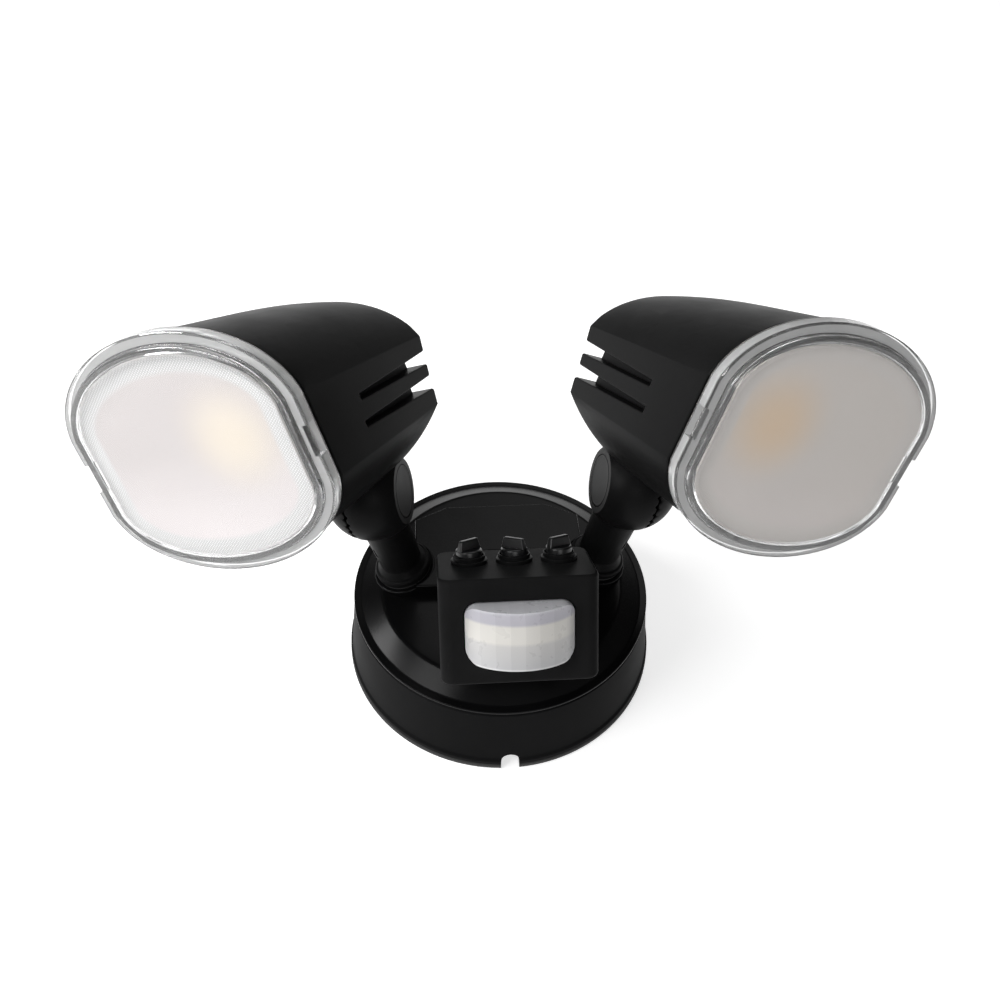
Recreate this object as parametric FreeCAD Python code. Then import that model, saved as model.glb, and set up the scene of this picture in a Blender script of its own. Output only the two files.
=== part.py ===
import FreeCAD, Part
import math
import os

os.makedirs("parts", exist_ok=True)

# The light stands on the back of its round base, which is the side that goes on a wall or a soffit.
# X is across the light, -Y is the side that the lamps and the sensor face, and +Z leaves the base.

# Clearances
seat_gap = 0.3
running_gap = 0.05
cut_over = 1.0

# Base
base_back_radius = 57.5
base_taper = 3.6
base_rim_radius = base_back_radius - base_taper
base_rim_height = 31.1
band_width = 10.0
band_rise = 4.4
plateau_radius = base_rim_radius - band_width
plateau_height = base_rim_height + band_rise
base_wall = 2.2
lip_width = 2.6
back_band_height = 3.2
groove_depth = 0.5
groove_height = 0.8
notch_width = 6.5
notch_height = 7.6

# Back gasket and mounting plate
gasket_height = 2.4
gasket_width = 6.0
plate_thickness = 1.6
wall_screw_spacing = 70.0
wall_screw_radius = 2.3
wall_slot_length = 12.0
cable_hole_radius = 10.5
plate_post_radius = 4.2
plate_post_inset = 5.9
plate_post_circle = plateau_radius - plate_post_inset
plate_screw_radius = 1.6
plate_screw_head_radius = 3.4
plate_screw_length = 12.0

# Raised block between the arms
block_side_inset = 3.4
block_rear_half_width = 19.0
block_front = -6.0
block_rear = 32.0
block_shoulder = 26.0
block_height = 5.0

# Arms
arm_lean = 12.7
arm_foot_inset = 9.5
arm_foot_x = plateau_radius - arm_foot_inset
block_half_width = arm_foot_x - block_side_inset
arm_foot_y = 4.7
arm_length = 43.8
swivel_right = 0.9
swivel_left = 9.1
ball_radius = 15.9
disc_offset = 11.4
seam_offset = 5.1
seam_gap = 0.4
tooth_count = 30
tooth_depth = 0.9
tooth_width = 1.5
tooth_inner_radius = 11.5
neck_top_radius = 8.8
neck_foot_radius = 7.4
foot_radius = 10.2
foot_height = 2.6
boss_radius = 11.4
boss_rise = 3.0
boss_depth = 8.0
stub_radius = 6.4
stub_length = 18.0
wire_bore_radius = 3.0
lock_nut_radius = 10.0
lock_nut_height = 4.0
seal_height = 1.0
seal_inner_radius = 7.4

# Head hinge
hinge_bolt_radius = 2.5
hinge_head_radius = 4.6
hinge_head_height = 2.6
hinge_nut_radius = 4.6
hinge_nut_height = 3.0
hinge_nut_offset = 10.4
cap_radius = 9.0
cap_thickness = 1.2

# Heads, measured from the middle of the ball, facing -Y
tilt_right = 19.4
tilt_left = 20.0
head_roll = 9.3
head_yaw = 10.5
lens_x = 8.2
lens_y = -56.8
lens_width = 79.5
flat_top_front = 58.3
flat_bottom_front = 33.3
lens_top = 83.1
lens_bottom = 10.2
rim_kink = 6.0
head_wall = 2.6
slope_top_flat = 0.178
slope_bottom_flat = 0.14
rear_low_y = 8.6
rear_low_z = 24.1
rear_high_y = 13.7
rear_high_z = 45.8
rear_chamfer_slope = 0.98
head_blend_end = 35.7
chamber_depth = 20.0
slot_tip_height = 1.8
slot_mouth_height = 4.1
slot_tips = ((-30.8, 45.3), (-33.2, 37.9))
slot_mouths = ((12.7, 38.9), (10.3, 31.3))
ball_recess_gap = 0.6
nut_pocket_length = 14.0

# Lens cover and what lies behind it
cover_flange = 2.6
cover_step_inset = 3.2
cover_rise = 4.2
cover_wall = 1.8
cover_round = 1.3
cover_ridge_inset = 6.2
cover_ridge_width = 1.0
cover_ridge_depth = 0.5
clip_length = 9.0
clip_depth = 1.6
head_gasket_height = 0.8
head_gasket_width = 3.6
diffuser_thickness = 1.5
diffuser_inset = 5.6
reflector_wall = 1.2
reflector_depth = 13.0
reflector_back_inset = 16.0
led_board_width = 38.0
led_board_height = 30.0
led_board_thickness = 1.6
led_chip_radius = 8.0
led_chip_height = 1.2
heat_plate_width = 52.0
heat_plate_height = 36.0
led_screw_radius = 1.25
led_screw_head_radius = 2.3
led_screw_head_height = 1.4
led_screw_length = 5.0
led_screw_spacing = 30.0

# Sensor box, in its own upright frame: bottom front edge at the origin, depth along +Y
sensor_x = 1.8
sensor_y = -58.5
sensor_z = 56.0
sensor_lean = 33.1
sensor_width = 50.0
sensor_height = 34.6
sensor_depth = 31.6
sensor_wall = 2.0
sensor_corner = 4.2
sensor_edge = 1.0
sensor_back_thickness = 2.2
sensor_post_radius = 2.6
sensor_post_inset = 4.5
sensor_screw_radius = 1.1
sensor_screw_head_radius = 1.8
sensor_screw_head_height = 1.3
sensor_screw_length = 8.0

# Motion lens
pir_width = 34.0
pir_height = 18.4
pir_bottom = 8.6
pir_bulge = 10.5
pir_wall = 1.1
pir_corner = 4.0
pir_flange = 1.2
pir_flange_thickness = 1.0
pir_board_width = 43.0
pir_board_height = 19.0
pir_board_thickness = 1.6
pir_board_depth = 9.0
pir_stand_radius = 1.5
pir_can_radius = 4.6
pir_can_height = 4.2

# Knobs
knob_pitch = 14.5
knob_from_front = 18.5
knob_angles = (38.0, -34.0, 30.0)
collar_radius = 5.9
collar_height = 2.6
knob_skirt_radius = 4.4
knob_skirt_height = 4.2
knob_blade_length = 8.6
knob_blade_width = 2.6
knob_blade_height = 4.2
knob_stem_radius = 1.6
knob_stem_length = 7.0
pot_size = 6.4
pot_height = 5.0

# Sensor hinge
pivot_y = -14.0
pivot_z = 49.0
pivot_pin_radius = 2.0
pivot_pin_head_radius = 3.4
pivot_pin_head_height = 1.6
ear_radius = 5.6
ear_thickness = 4.0
tongue_width = 12.0
bracket_foot_rear = 8.0
bracket_screw_radius = 1.6
bracket_screw_head_radius = 3.0
bracket_screw_head_height = 1.8
bracket_screw_length = 7.0
bracket_boss_radius = 3.6
bracket_foot_height = 2.4

# Inside the base
board_clearance = 0.67
driver_board_length = 2 * (plate_post_circle * math.cos(math.pi / 4) - plate_post_radius - board_clearance)
driver_board_width = 34.0
driver_board_thickness = 1.6
driver_board_y = 24.0
driver_board_z = 9.0
driver_cap_radius = 6.0
driver_cap_length = 12.0
driver_coil_size = 12.0
terminal_length = 24.0
terminal_width = 12.0
terminal_height = 12.0
terminal_clearance = 0.8
terminal_front = plate_post_radius + terminal_clearance - plate_post_circle
grommet_flange_radius = 13.0
grommet_flange_height = 1.4
grommet_bore_radius = 4.0


def vec(x, y, z):
    return FreeCAD.Vector(x, y, z)


ORIGIN = vec(0, 0, 0)
X_AXIS = vec(1, 0, 0)
Y_AXIS = vec(0, 1, 0)
Z_AXIS = vec(0, 0, 1)


def cylinder(radius, height, base, axis=Z_AXIS):
    return Part.makeCylinder(radius, height, base, axis)


def ring(outer, inner, height, base, axis=Z_AXIS):
    start = base - axis * cut_over
    hole = cylinder(inner, height + 2 * cut_over, start, axis)
    return cylinder(outer, height, base, axis).cut(hole)


def block(x0, x1, y0, y1, z0, z1):
    return Part.makeBox(x1 - x0, y1 - y0, z1 - z0, vec(x0, y0, z0))


def hexagon(radius, height, base, axis):
    points = []
    for k in range(7):
        a = math.radians(60 * k)
        points.append(vec(radius * math.cos(a), radius * math.sin(a), 0))
    shape = Part.Face(Part.makePolygon(points)).extrude(vec(0, 0, height))
    turn = FreeCAD.Rotation(Z_AXIS, axis)
    shape.Placement = FreeCAD.Placement(base, turn)
    return shape


def revolve_profile(points):
    corners = [vec(r, 0, z) for r, z in points]
    corners.append(corners[0])
    return Part.Face(Part.makePolygon(corners)).revolve(ORIGIN, Z_AXIS, 360)


def turned(shape, angle, axis, centre=ORIGIN):
    copy = shape.copy()
    copy.rotate(centre, axis, angle)
    return copy


def moved(shape, offset):
    copy = shape.copy()
    copy.translate(offset)
    return copy


def rounded(shape, radius, chosen):
    edges = [e for e in shape.Edges if chosen(e)]
    return shape.makeFillet(radius, edges) if edges else shape


def fuse_all(shapes):
    first = shapes[0]
    rest = shapes[1:]
    return first.multiFuse(rest).removeSplitter() if rest else first


def save(shape, node):
    shape.exportStep("parts/" + node + ".step")


# Arm placing: the ball's middle stands at the end of a leaning swivel axis

def arm_axis():
    a = math.radians(arm_lean)
    return vec(math.sin(a), 0, math.cos(a))


def ball_centre():
    return vec(arm_foot_x, arm_foot_y, plateau_height) + arm_axis() * arm_length


def place_on_arm(shape, swivel, left):
    """Moves a shape from the ball's frame (Z along the swivel axis) to its place on one side."""
    out = turned(shape, arm_lean, Y_AXIS)
    out = turned(out, swivel, arm_axis())
    out = moved(out, ball_centre())
    return out.mirror(ORIGIN, X_AXIS) if left else out


def place_head(shape, tilt, swivel, left):
    """Tilts a shape of the head about its hinge, then places it with its arm."""
    return place_on_arm(turned(shape, -tilt, X_AXIS), swivel, left)


# Base

def base_outline():
    """Outer radii and heights of the base from its back edge to the middle of its front."""
    bottom = gasket_height
    side_top = base_rim_height - 2.0
    slope = (base_back_radius - base_rim_radius) / base_rim_height
    return [
        (base_back_radius - 0.2, bottom),
        (base_back_radius - 0.2, bottom + 0.4),
        (base_back_radius - slope * back_band_height - 0.3, bottom + back_band_height),
        (base_rim_radius + slope * 2.0, side_top),
        (base_rim_radius - groove_depth, side_top + 0.2),
        (base_rim_radius - groove_depth, side_top + 0.2 + groove_height),
        (base_rim_radius, side_top + 0.4 + groove_height),
        (base_rim_radius, base_rim_height),
        (base_rim_radius - lip_width, base_rim_height),
        (plateau_radius, plateau_height),
        (0, plateau_height),
    ]


def base_cavity():
    inner_back = base_back_radius - base_wall - 1.0
    inner_rim = base_rim_radius - base_wall - groove_depth
    rim_under = base_rim_height - base_wall
    plateau_under = plateau_height - base_wall
    return revolve_profile([
        (0, gasket_height - cut_over),
        (inner_back, gasket_height - cut_over),
        (inner_rim, rim_under),
        (inner_rim - lip_width, rim_under),
        (plateau_radius - base_wall, plateau_under),
        (0, plateau_under),
    ])


def raised_block(inset, z0, z1):
    w = block_half_width - inset
    rear_w = block_rear_half_width - inset * 0.6
    front = block_front + inset
    rear = block_rear - inset
    points = [
        vec(-w, front, z0), vec(w, front, z0), vec(w, block_shoulder, z0),
        vec(rear_w, rear, z0), vec(-rear_w, rear, z0), vec(-w, block_shoulder, z0),
    ]
    points.append(points[0])
    return Part.Face(Part.makePolygon(points)).extrude(vec(0, 0, z1 - z0))


def arm_boss(extra, start, length, left):
    """A cylinder round the swivel axis; start is counted along the axis from the plateau."""
    foot = vec(arm_foot_x, arm_foot_y, plateau_height)
    shape = cylinder(extra, length, foot + arm_axis() * start, arm_axis())
    return shape.mirror(ORIGIN, X_AXIS) if left else shape


def notch():
    half = notch_width / 2
    height = notch_height - half
    y0 = -base_back_radius - cut_over
    depth = base_wall + 6.0
    body = block(-half, half, y0, y0 + depth, -cut_over, height)
    arch = cylinder(half, depth, vec(0, y0, height), Y_AXIS)
    return body.fuse(arch)


def plate_post_points():
    points = []
    for degrees in (-90, 45, 135):
        a = math.radians(degrees)
        points.append(vec(plate_post_circle * math.cos(a), plate_post_circle * math.sin(a), 0))
    return points


def bracket_screw_points():
    return [vec(sensor_x + side * (ear_thickness + tongue_width) / 1.6, 4.2, 0) for side in (-1, 1)]


def make_base_housing():
    shell = revolve_profile([(0, gasket_height)] + base_outline())
    shell = rounded(shell, 0.6, is_rim_edge)
    shell = shell.cut(base_cavity())
    top = raised_block(0, plateau_height - 0.5, plateau_height + block_height)
    top = rounded(top, 1.2, lambda e: is_above(e, plateau_height))
    block_top = plateau_height + block_height
    pocket = raised_block(base_wall, plateau_height - base_wall - 0.5, block_top - base_wall)
    shell = shell.fuse(top).cut(pocket)
    for left in (False, True):
        shell = shell.fuse(arm_boss(boss_radius, -boss_depth, boss_depth + boss_rise, left))
    post_foot = plate_thickness + seat_gap
    post_top = plateau_height - base_wall + 0.2
    for p in plate_post_points():
        shell = shell.fuse(cylinder(plate_post_radius, post_top - post_foot, p + vec(0, 0, post_foot)))
    for left in (False, True):
        shell = shell.cut(arm_boss(foot_radius + seat_gap, boss_rise, 15, left))
        shell = shell.cut(arm_boss(stub_radius + running_gap, -boss_depth - cut_over, 30, left))
    for p in plate_post_points():
        shell = shell.cut(cylinder(plate_screw_radius, plate_screw_length + cut_over, p))
    hole_foot = block_top - bracket_screw_length
    for p in bracket_screw_points():
        boss_foot = p + vec(0, 0, hole_foot - 1.5)
        shell = shell.fuse(cylinder(bracket_boss_radius, block_top - 1.0 - boss_foot.z, boss_foot))
        hole_length = bracket_screw_length + cut_over
        shell = shell.cut(cylinder(bracket_screw_radius, hole_length, p + vec(0, 0, hole_foot)))
    shell = shell.cut(notch())
    return shell.removeSplitter()


def is_rim_edge(edge):
    box = edge.BoundBox
    at_rim = abs(box.ZMax - base_rim_height) < 0.01 and abs(box.ZMin - base_rim_height) < 0.01
    return at_rim and abs(box.XMax - base_rim_radius) < 0.01


def is_above(edge, level):
    return edge.BoundBox.ZMin > level


def make_wall_gasket():
    body = ring(base_back_radius, base_back_radius - gasket_width, gasket_height, ORIGIN)
    body = rounded(body, 0.7, lambda e: abs(e.BoundBox.XMax - base_back_radius) < 0.01)
    return body.cut(notch())


def plate_radius():
    return base_back_radius - gasket_width - seat_gap


def wall_slot(side):
    """A slot along X for a wall screw, round at both ends."""
    x = side * wall_screw_spacing / 2
    r = wall_screw_radius
    reach = wall_slot_length / 2 - r
    over = plate_thickness + 2 * cut_over
    ends = [cylinder(r, over, vec(x + end * reach, 0, -cut_over)) for end in (-1, 1)]
    middle = block(x - reach, x + reach, -r, r, -cut_over, plate_thickness + cut_over)
    return fuse_all(ends + [middle])


def make_mounting_plate():
    plate = cylinder(plate_radius(), plate_thickness, ORIGIN)
    plate = plate.cut(cylinder(cable_hole_radius, plate_thickness + 2 * cut_over, vec(0, 0, -cut_over)))
    for side in (-1, 1):
        plate = plate.cut(wall_slot(side))
    for p in plate_post_points():
        hole = cylinder(plate_screw_radius + 0.2, plate_thickness + 2 * cut_over, p - vec(0, 0, cut_over))
        plate = plate.cut(hole)
        sink = Part.makeCone(plate_screw_head_radius + 0.1, plate_screw_radius + 0.2, plate_thickness, p)
        plate = plate.cut(sink)
    return plate


def make_plate_screws():
    screws = []
    for p in plate_post_points():
        head = Part.makeCone(plate_screw_head_radius, plate_screw_radius, plate_thickness, p)
        shank = cylinder(plate_screw_radius - running_gap, plate_screw_length, p)
        drive = hexagon(1.4, 0.9, p - vec(0, 0, 0.01), Z_AXIS)
        screws.append(head.fuse(shank).cut(drive))
    return Part.makeCompound(screws)


def make_cable_grommet():
    flange_z = plate_thickness + 0.05
    neck = cylinder(cable_hole_radius - 0.1, plate_thickness + 0.05, ORIGIN)
    flange = cylinder(grommet_flange_radius, grommet_flange_height, vec(0, 0, flange_z))
    cone = Part.makeCone(grommet_flange_radius - 2, grommet_bore_radius + 1.6, 3.0,
                         vec(0, 0, flange_z + grommet_flange_height))
    body = fuse_all([neck, flange, cone])
    return body.cut(cylinder(grommet_bore_radius, 12, vec(0, 0, -cut_over)))


def terminal_origin():
    return vec(-terminal_length / 2, terminal_front, plate_thickness + seat_gap)


def make_terminal_block():
    o = terminal_origin()
    body = Part.makeBox(terminal_length, terminal_width, terminal_height, o)
    for k in range(3):
        x = terminal_length * (k + 0.5) / 3
        entry = cylinder(2.1, terminal_width + 2 * cut_over, o + vec(x, -cut_over, 4.0), Y_AXIS)
        well = cylinder(2.4, 5.0, o + vec(x, terminal_width / 2, terminal_height - 4.0))
        body = body.cut(entry).cut(well)
    return body


def make_terminal_screws():
    o = terminal_origin()
    screws = []
    for k in range(3):
        x = terminal_length * (k + 0.5) / 3
        base = o + vec(x, terminal_width / 2, terminal_height - 4.0)
        screw = cylinder(2.1, 2.4, base)
        slot = block(base.x - 2.5, base.x + 2.5, base.y - 0.4, base.y + 0.4, base.z + 1.6, base.z + 3)
        screws.append(screw.cut(slot))
    return Part.makeCompound(screws)


def driver_post_points():
    x = driver_board_length / 2 - 4
    y = driver_board_width / 2 - 4
    return [vec(sx * x, driver_board_y + sy * y, 0) for sx in (-1, 1) for sy in (-1, 1)]


def make_driver_board():
    y0 = driver_board_y - driver_board_width / 2
    half = driver_board_length / 2
    z = driver_board_z
    board = block(-half, half, y0, y0 + driver_board_width, z, z + driver_board_thickness)
    capacitor = cylinder(driver_cap_radius, driver_cap_length, vec(-12, 30, z + driver_board_thickness))
    coil = block(2, 2 + driver_coil_size, 16, 16 + driver_coil_size, z + driver_board_thickness,
                 z + driver_board_thickness + 9)
    relay = block(-18, -6, 10, 20, z + driver_board_thickness, z + driver_board_thickness + 10)
    return fuse_all([board, capacitor, coil, relay])


def make_driver_standoffs():
    posts = []
    height = driver_board_z - plate_thickness
    for p in driver_post_points():
        posts.append(cylinder(2.6, height, p + vec(0, 0, plate_thickness)))
    return Part.makeCompound(posts)


# Arms, in the ball's frame: hinge along X, swivel axis along Z, ball's middle at the origin

def seam_teeth(at_x, towards):
    """V grooves round the seam face, so that its edge is serrated."""
    cuts = []
    for k in range(tooth_count):
        a = 360.0 * k / tooth_count
        bar = Part.makeBox(tooth_width, tooth_width, ball_radius, vec(0, 0, 0))
        bar.translate(vec(-tooth_width / 2, -tooth_width / 2, tooth_inner_radius))
        bar = turned(bar, 45, Z_AXIS)
        bar.translate(vec(at_x + towards * (tooth_width / math.sqrt(2) - tooth_depth), 0, 0))
        cuts.append(turned(bar, a, X_AXIS))
    return Part.makeCompound(cuts)


def ball_slice(x0, x1):
    ball = Part.makeSphere(ball_radius)
    r = ball_radius + cut_over
    return ball.common(block(x0, x1, -r, r, -r, r))


def foot_level():
    """Height of the top of the base's boss along the swivel axis, counted from the ball's middle."""
    return boss_rise - arm_length + seal_height


def make_arm():
    ball = ball_slice(-disc_offset, seam_offset)
    foot = foot_level()
    neck_len = -foot - foot_height
    neck = Part.makeCone(neck_foot_radius, neck_top_radius, neck_len, vec(0, 0, foot + foot_height))
    neck = neck.cut(block(seam_offset, ball_radius + 5, -20, 20, -ball_radius - 1.0, 5))
    flange = cylinder(foot_radius, foot_height, vec(0, 0, foot))
    flange = rounded(flange, 1.1, lambda e: e.BoundBox.ZMin > foot + foot_height - 0.01)
    flare = Part.makeCone(foot_radius - 1.2, neck_foot_radius, 2.4, vec(0, 0, foot + foot_height))
    stub = cylinder(stub_radius, stub_length, vec(0, 0, foot - stub_length))
    body = fuse_all([ball, neck, flange, flare, stub])
    body = body.cut(seam_teeth(seam_offset, 1))
    bore_foot = foot - stub_length - cut_over
    bore_top = -hinge_bolt_radius - 6.0
    body = body.cut(cylinder(wire_bore_radius, bore_top - bore_foot, vec(0, 0, bore_foot)))
    body = body.cut(cylinder(cap_radius + 0.1, cap_thickness, vec(-disc_offset, 0, 0), X_AXIS))
    head_seat = -disc_offset + cap_thickness
    body = body.cut(cylinder(hinge_head_radius + 0.2, hinge_head_height + 0.2, vec(head_seat, 0, 0), X_AXIS))
    body = body.cut(cylinder(hinge_bolt_radius, 40, vec(-disc_offset, 0, 0), X_AXIS))
    return body


def make_disc_cap():
    cap = cylinder(cap_radius, cap_thickness, vec(-disc_offset, 0, 0), X_AXIS)
    return rounded(cap, 0.3, lambda e: e.BoundBox.XMax < -disc_offset + 0.01)


def make_hinge_bolt():
    head_seat = -disc_offset + cap_thickness + 0.2
    head = hexagon(hinge_head_radius, hinge_head_height, vec(head_seat, 0, 0), X_AXIS)
    length = hinge_nut_offset + hinge_nut_height - head_seat
    shank = cylinder(hinge_bolt_radius - running_gap, length, vec(head_seat, 0, 0), X_AXIS)
    return head.fuse(shank)


def make_hinge_nut():
    nut = hexagon(hinge_nut_radius, hinge_nut_height, vec(hinge_nut_offset, 0, 0), X_AXIS)
    return nut.cut(cylinder(hinge_bolt_radius, 20, vec(0, 0, 0), X_AXIS))


def lock_nut_level():
    return -arm_length - boss_depth - seat_gap


def make_lock_nut():
    base = vec(0, 0, lock_nut_level() - lock_nut_height)
    nut = hexagon(lock_nut_radius, lock_nut_height, base, Z_AXIS)
    return nut.cut(cylinder(stub_radius, 10, base - vec(0, 0, cut_over)))


def make_foot_seal():
    return ring(foot_radius - 0.4, seal_inner_radius, seal_height, vec(0, 0, boss_rise - arm_length))


# Heads

def flat_top(y):
    return flat_top_front - slope_top_flat * (y - lens_y)


def flat_bottom(y):
    return flat_bottom_front - slope_bottom_flat * (y - lens_y)


def outline_wire(y, half_width, low_flat, high_flat, cap_up, cap_down, kink=rim_kink):
    """Closed outline of two upright flats joined by a big arc above and one below."""
    k = math.radians(kink)
    a = half_width / math.cos(k)
    edges = []
    for cap, level, sign in ((cap_up, high_flat, 1), (cap_down, low_flat, -1)):
        b = cap / (1 - math.sin(k))
        centre = vec(lens_x, y, level - sign * b * math.sin(k))
        wide = centre + vec(a, 0, 0)
        tall = centre + vec(0, 0, sign * b)
        curve = Part.Ellipse(wide, tall, centre)
        edges.append(Part.ArcOfEllipse(curve, k, math.pi - k).toShape())
    left = Part.makeLine(vec(lens_x - half_width, y, low_flat), vec(lens_x - half_width, y, high_flat))
    right = Part.makeLine(vec(lens_x + half_width, y, high_flat), vec(lens_x + half_width, y, low_flat))
    order = Part.sortEdges([edges[0], right, edges[1], left])[0]
    return Part.Wire(order)


def lens_wire(y, inset):
    up = lens_top - flat_top_front - inset
    down = flat_bottom_front - lens_bottom - inset
    return outline_wire(y, lens_width / 2 - inset, flat_bottom_front, flat_top_front, up, down)


def lens_slab(inset, y0, y1):
    return Part.Face(lens_wire(y0, inset)).extrude(vec(0, y1 - y0, 0))


def head_front():
    return lens_y + cover_flange + head_gasket_height


def head_stations():
    """Depth, top, bottom and kink of the head's outline, from its front rim to past its rear."""
    return (
        (head_front(), lens_top - 1.2, lens_bottom + 0.8, rim_kink + 2),
        (-40.5, 78.9, 9.5, 11.0),
        (-21.0, 74.3, 6.9, 16.0),
        (-1.4, 69.2, 4.6, 21.0),
        (18.1, 62.6, 2.2, 25.0),
        (head_blend_end, 56.0, -0.1, 28.0),
    )


def head_sections(inset):
    wires = []
    for y, top, bottom, kink in head_stations():
        high = flat_top(y) - inset * 0.3
        low = flat_bottom(y) + inset * 0.3
        half = lens_width / 2 - inset
        wires.append(outline_wire(y, half, low, high, top - high - inset, low - bottom - inset, kink))
    return wires


def rear_cut(offset):
    """Everything behind the slanting rear face and under the chamfer below it."""
    lean = (rear_high_y - rear_low_y) / (rear_high_z - rear_low_z)
    low_y = rear_low_y - offset
    chamfer_run = 60.0
    points = [
        vec(-60, low_y, rear_low_z),
        vec(-60, low_y + lean * 100, rear_low_z + 100),
        vec(-60, 120, rear_low_z + 100),
        vec(-60, 120, -90),
        vec(-60, low_y - chamfer_run, -90),
        vec(-60, low_y - chamfer_run, rear_low_z - chamfer_run * rear_chamfer_slope),
    ]
    points.append(points[0])
    return Part.Face(Part.makePolygon(points)).extrude(vec(160, 0, 0))


def slot(index):
    tip_y, tip_z = slot_tips[index]
    mouth_y, mouth_z = slot_mouths[index]
    rise = (mouth_z - tip_z) / (mouth_y - tip_y)
    growth = (slot_mouth_height - slot_tip_height) / 2 / (mouth_y - tip_y)
    end_y = mouth_y + 30
    end_z = tip_z + rise * (end_y - tip_y)
    end_half = slot_tip_height / 2 + growth * (end_y - tip_y)
    half = slot_tip_height / 2
    points = [
        vec(-60, tip_y, tip_z - half), vec(-60, end_y, end_z - end_half),
        vec(-60, end_y, end_z + end_half), vec(-60, tip_y, tip_z + half),
    ]
    points.append(points[0])
    return Part.Face(Part.makePolygon(points)).extrude(vec(160, 0, 0))


def above_slots():
    """The room above the upper slot, where the head is hollow up to its rear."""
    tip_y, tip_z = slot_tips[0]
    mouth_y, mouth_z = slot_mouths[0]
    rise = (mouth_z - tip_z) / (mouth_y - tip_y)
    lift = slot_mouth_height / 2 + head_wall
    y0 = head_front() + chamber_depth - cut_over
    y1 = mouth_y + 30
    z0 = tip_z + rise * (y0 - tip_y) + lift
    z1 = tip_z + rise * (y1 - tip_y) + lift
    points = [vec(-60, y0, z0), vec(-60, y1, z1), vec(-60, y1, 120), vec(-60, y0, 120)]
    points.append(points[0])
    return Part.Face(Part.makePolygon(points)).extrude(vec(160, 0, 0))


def make_head_shell():
    body = Part.makeLoft(head_sections(0), True, False)
    body = body.cut(rear_cut(0))
    inner = Part.makeLoft(head_sections(head_wall), True, False)
    front = inner.common(block(-60, 100, head_front() - cut_over, head_front() + chamber_depth, -20, 120))
    upper = inner.common(above_slots()).cut(rear_cut(head_wall))
    mouth = Part.Face(head_sections(head_wall)[0]).extrude(vec(0, -cut_over, 0))
    body = body.cut(front).cut(upper).cut(mouth)
    for index in range(len(slot_tips)):
        body = body.cut(slot(index))
    return body


def make_knuckle():
    """The outer part of the ball, which carries the head."""
    face = seam_offset + seam_gap
    return ball_slice(face, ball_radius + cut_over)


def is_upright(edge):
    box = edge.BoundBox
    return box.ZLength > 1 and box.XLength < 0.01 and box.YLength < 0.01


def hinge_room():
    """The room that the arm's ball keeps free in the head's underside."""
    reach = ball_radius + ball_recess_gap
    far = reach + cut_over
    ball = Part.makeSphere(reach)
    return ball.common(block(-far, seam_offset + seam_gap, -far, far, -far, far))


def roll_head(shape):
    """Turns a piece of the head from its own upright frame to the way the head sits on its hinge."""
    return turned(turned(shape, head_yaw, Z_AXIS), head_roll, Y_AXIS)


def make_head_housing():
    shell = roll_head(make_head_shell())
    chamber = roll_head(head_chamber())
    knuckle = make_knuckle().cut(chamber)
    body = shell.cut(hinge_room()).fuse(knuckle)
    body = body.cut(seam_teeth(seam_offset + seam_gap, -1))
    body = body.cut(cylinder(hinge_bolt_radius + running_gap, 40, vec(0, 0, 0), X_AXIS))
    nut_room = hexagon(hinge_nut_radius + 0.15, nut_pocket_length, vec(hinge_nut_offset - 0.1, 0, 0), X_AXIS)
    return body.cut(nut_room)


def head_chamber():
    inner = Part.makeLoft(head_sections(head_wall), True, False)
    return inner.common(block(-60, 100, head_front() - cut_over, head_front() + chamber_depth, -20, 120))


def cover_back():
    return head_front() - head_gasket_height


def cover_face():
    return cover_back() - cover_flange - cover_rise


def cover_clips(inset, depth, y0, y1):
    cuts = []
    middle = (flat_top_front + flat_bottom_front) / 2
    for side in (-1, 1):
        x = lens_x + side * (lens_width / 2 - inset)
        half = clip_length / 2
        cuts.append(block(x - depth, x + depth, y0, y1, middle - half, middle + half))
    return cuts


def make_lens_cover():
    back = cover_back()
    flange = lens_slab(0, back - cover_flange, back)
    dome = lens_slab(cover_step_inset, cover_face(), back)
    body = flange.fuse(dome).removeSplitter()
    body = rounded(body, cover_round, lambda e: e.BoundBox.YMax < cover_face() + 0.01)
    hollow = lens_slab(cover_step_inset + cover_wall, cover_face() + cover_wall, back + cut_over)
    body = body.cut(hollow)
    groove = lens_slab(cover_ridge_inset, cover_face() - cut_over, cover_face() + cover_ridge_depth)
    groove = groove.cut(lens_slab(cover_ridge_inset + cover_ridge_width, cover_face() - 2, cover_face() + 2))
    body = body.cut(groove)
    for cut in cover_clips(0, clip_depth, back - cover_flange - 0.01, back - cover_flange + 1.2):
        body = body.cut(cut)
    return body


def make_head_gasket():
    outer = lens_slab(0.6, cover_back(), head_front())
    inner = lens_slab(0.6 + head_gasket_width, cover_back() - 2, head_front() + 2)
    return outer.cut(inner)


def diffuser_front():
    return cover_face() + cover_wall + seat_gap


def make_diffuser():
    front = diffuser_front()
    return lens_slab(diffuser_inset, front, front + diffuser_thickness)


def reflector_front():
    return diffuser_front() + diffuser_thickness


def make_reflector():
    front = reflector_front()
    back = front + reflector_depth
    outer = Part.makeLoft([
        lens_wire(front, diffuser_inset),
        lens_wire(back, reflector_back_inset),
    ], True, True)
    step = reflector_wall
    inner = Part.makeLoft([
        lens_wire(front - 0.01, diffuser_inset + step),
        lens_wire(back - step, reflector_back_inset + step),
    ], True, True)
    body = outer.cut(inner)
    middle = lens_middle()
    body = body.cut(cylinder(led_chip_radius + 0.6, 10, vec(lens_x, back - 5, middle), Y_AXIS))
    for x, z in led_screw_points():
        body = body.cut(cylinder(led_screw_head_radius + seat_gap, 10, vec(x, back - 5, z), Y_AXIS))
    return body


def lens_middle():
    return (flat_top_front + flat_bottom_front) / 2


def led_board_front():
    return reflector_front() + reflector_depth + seat_gap


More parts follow.
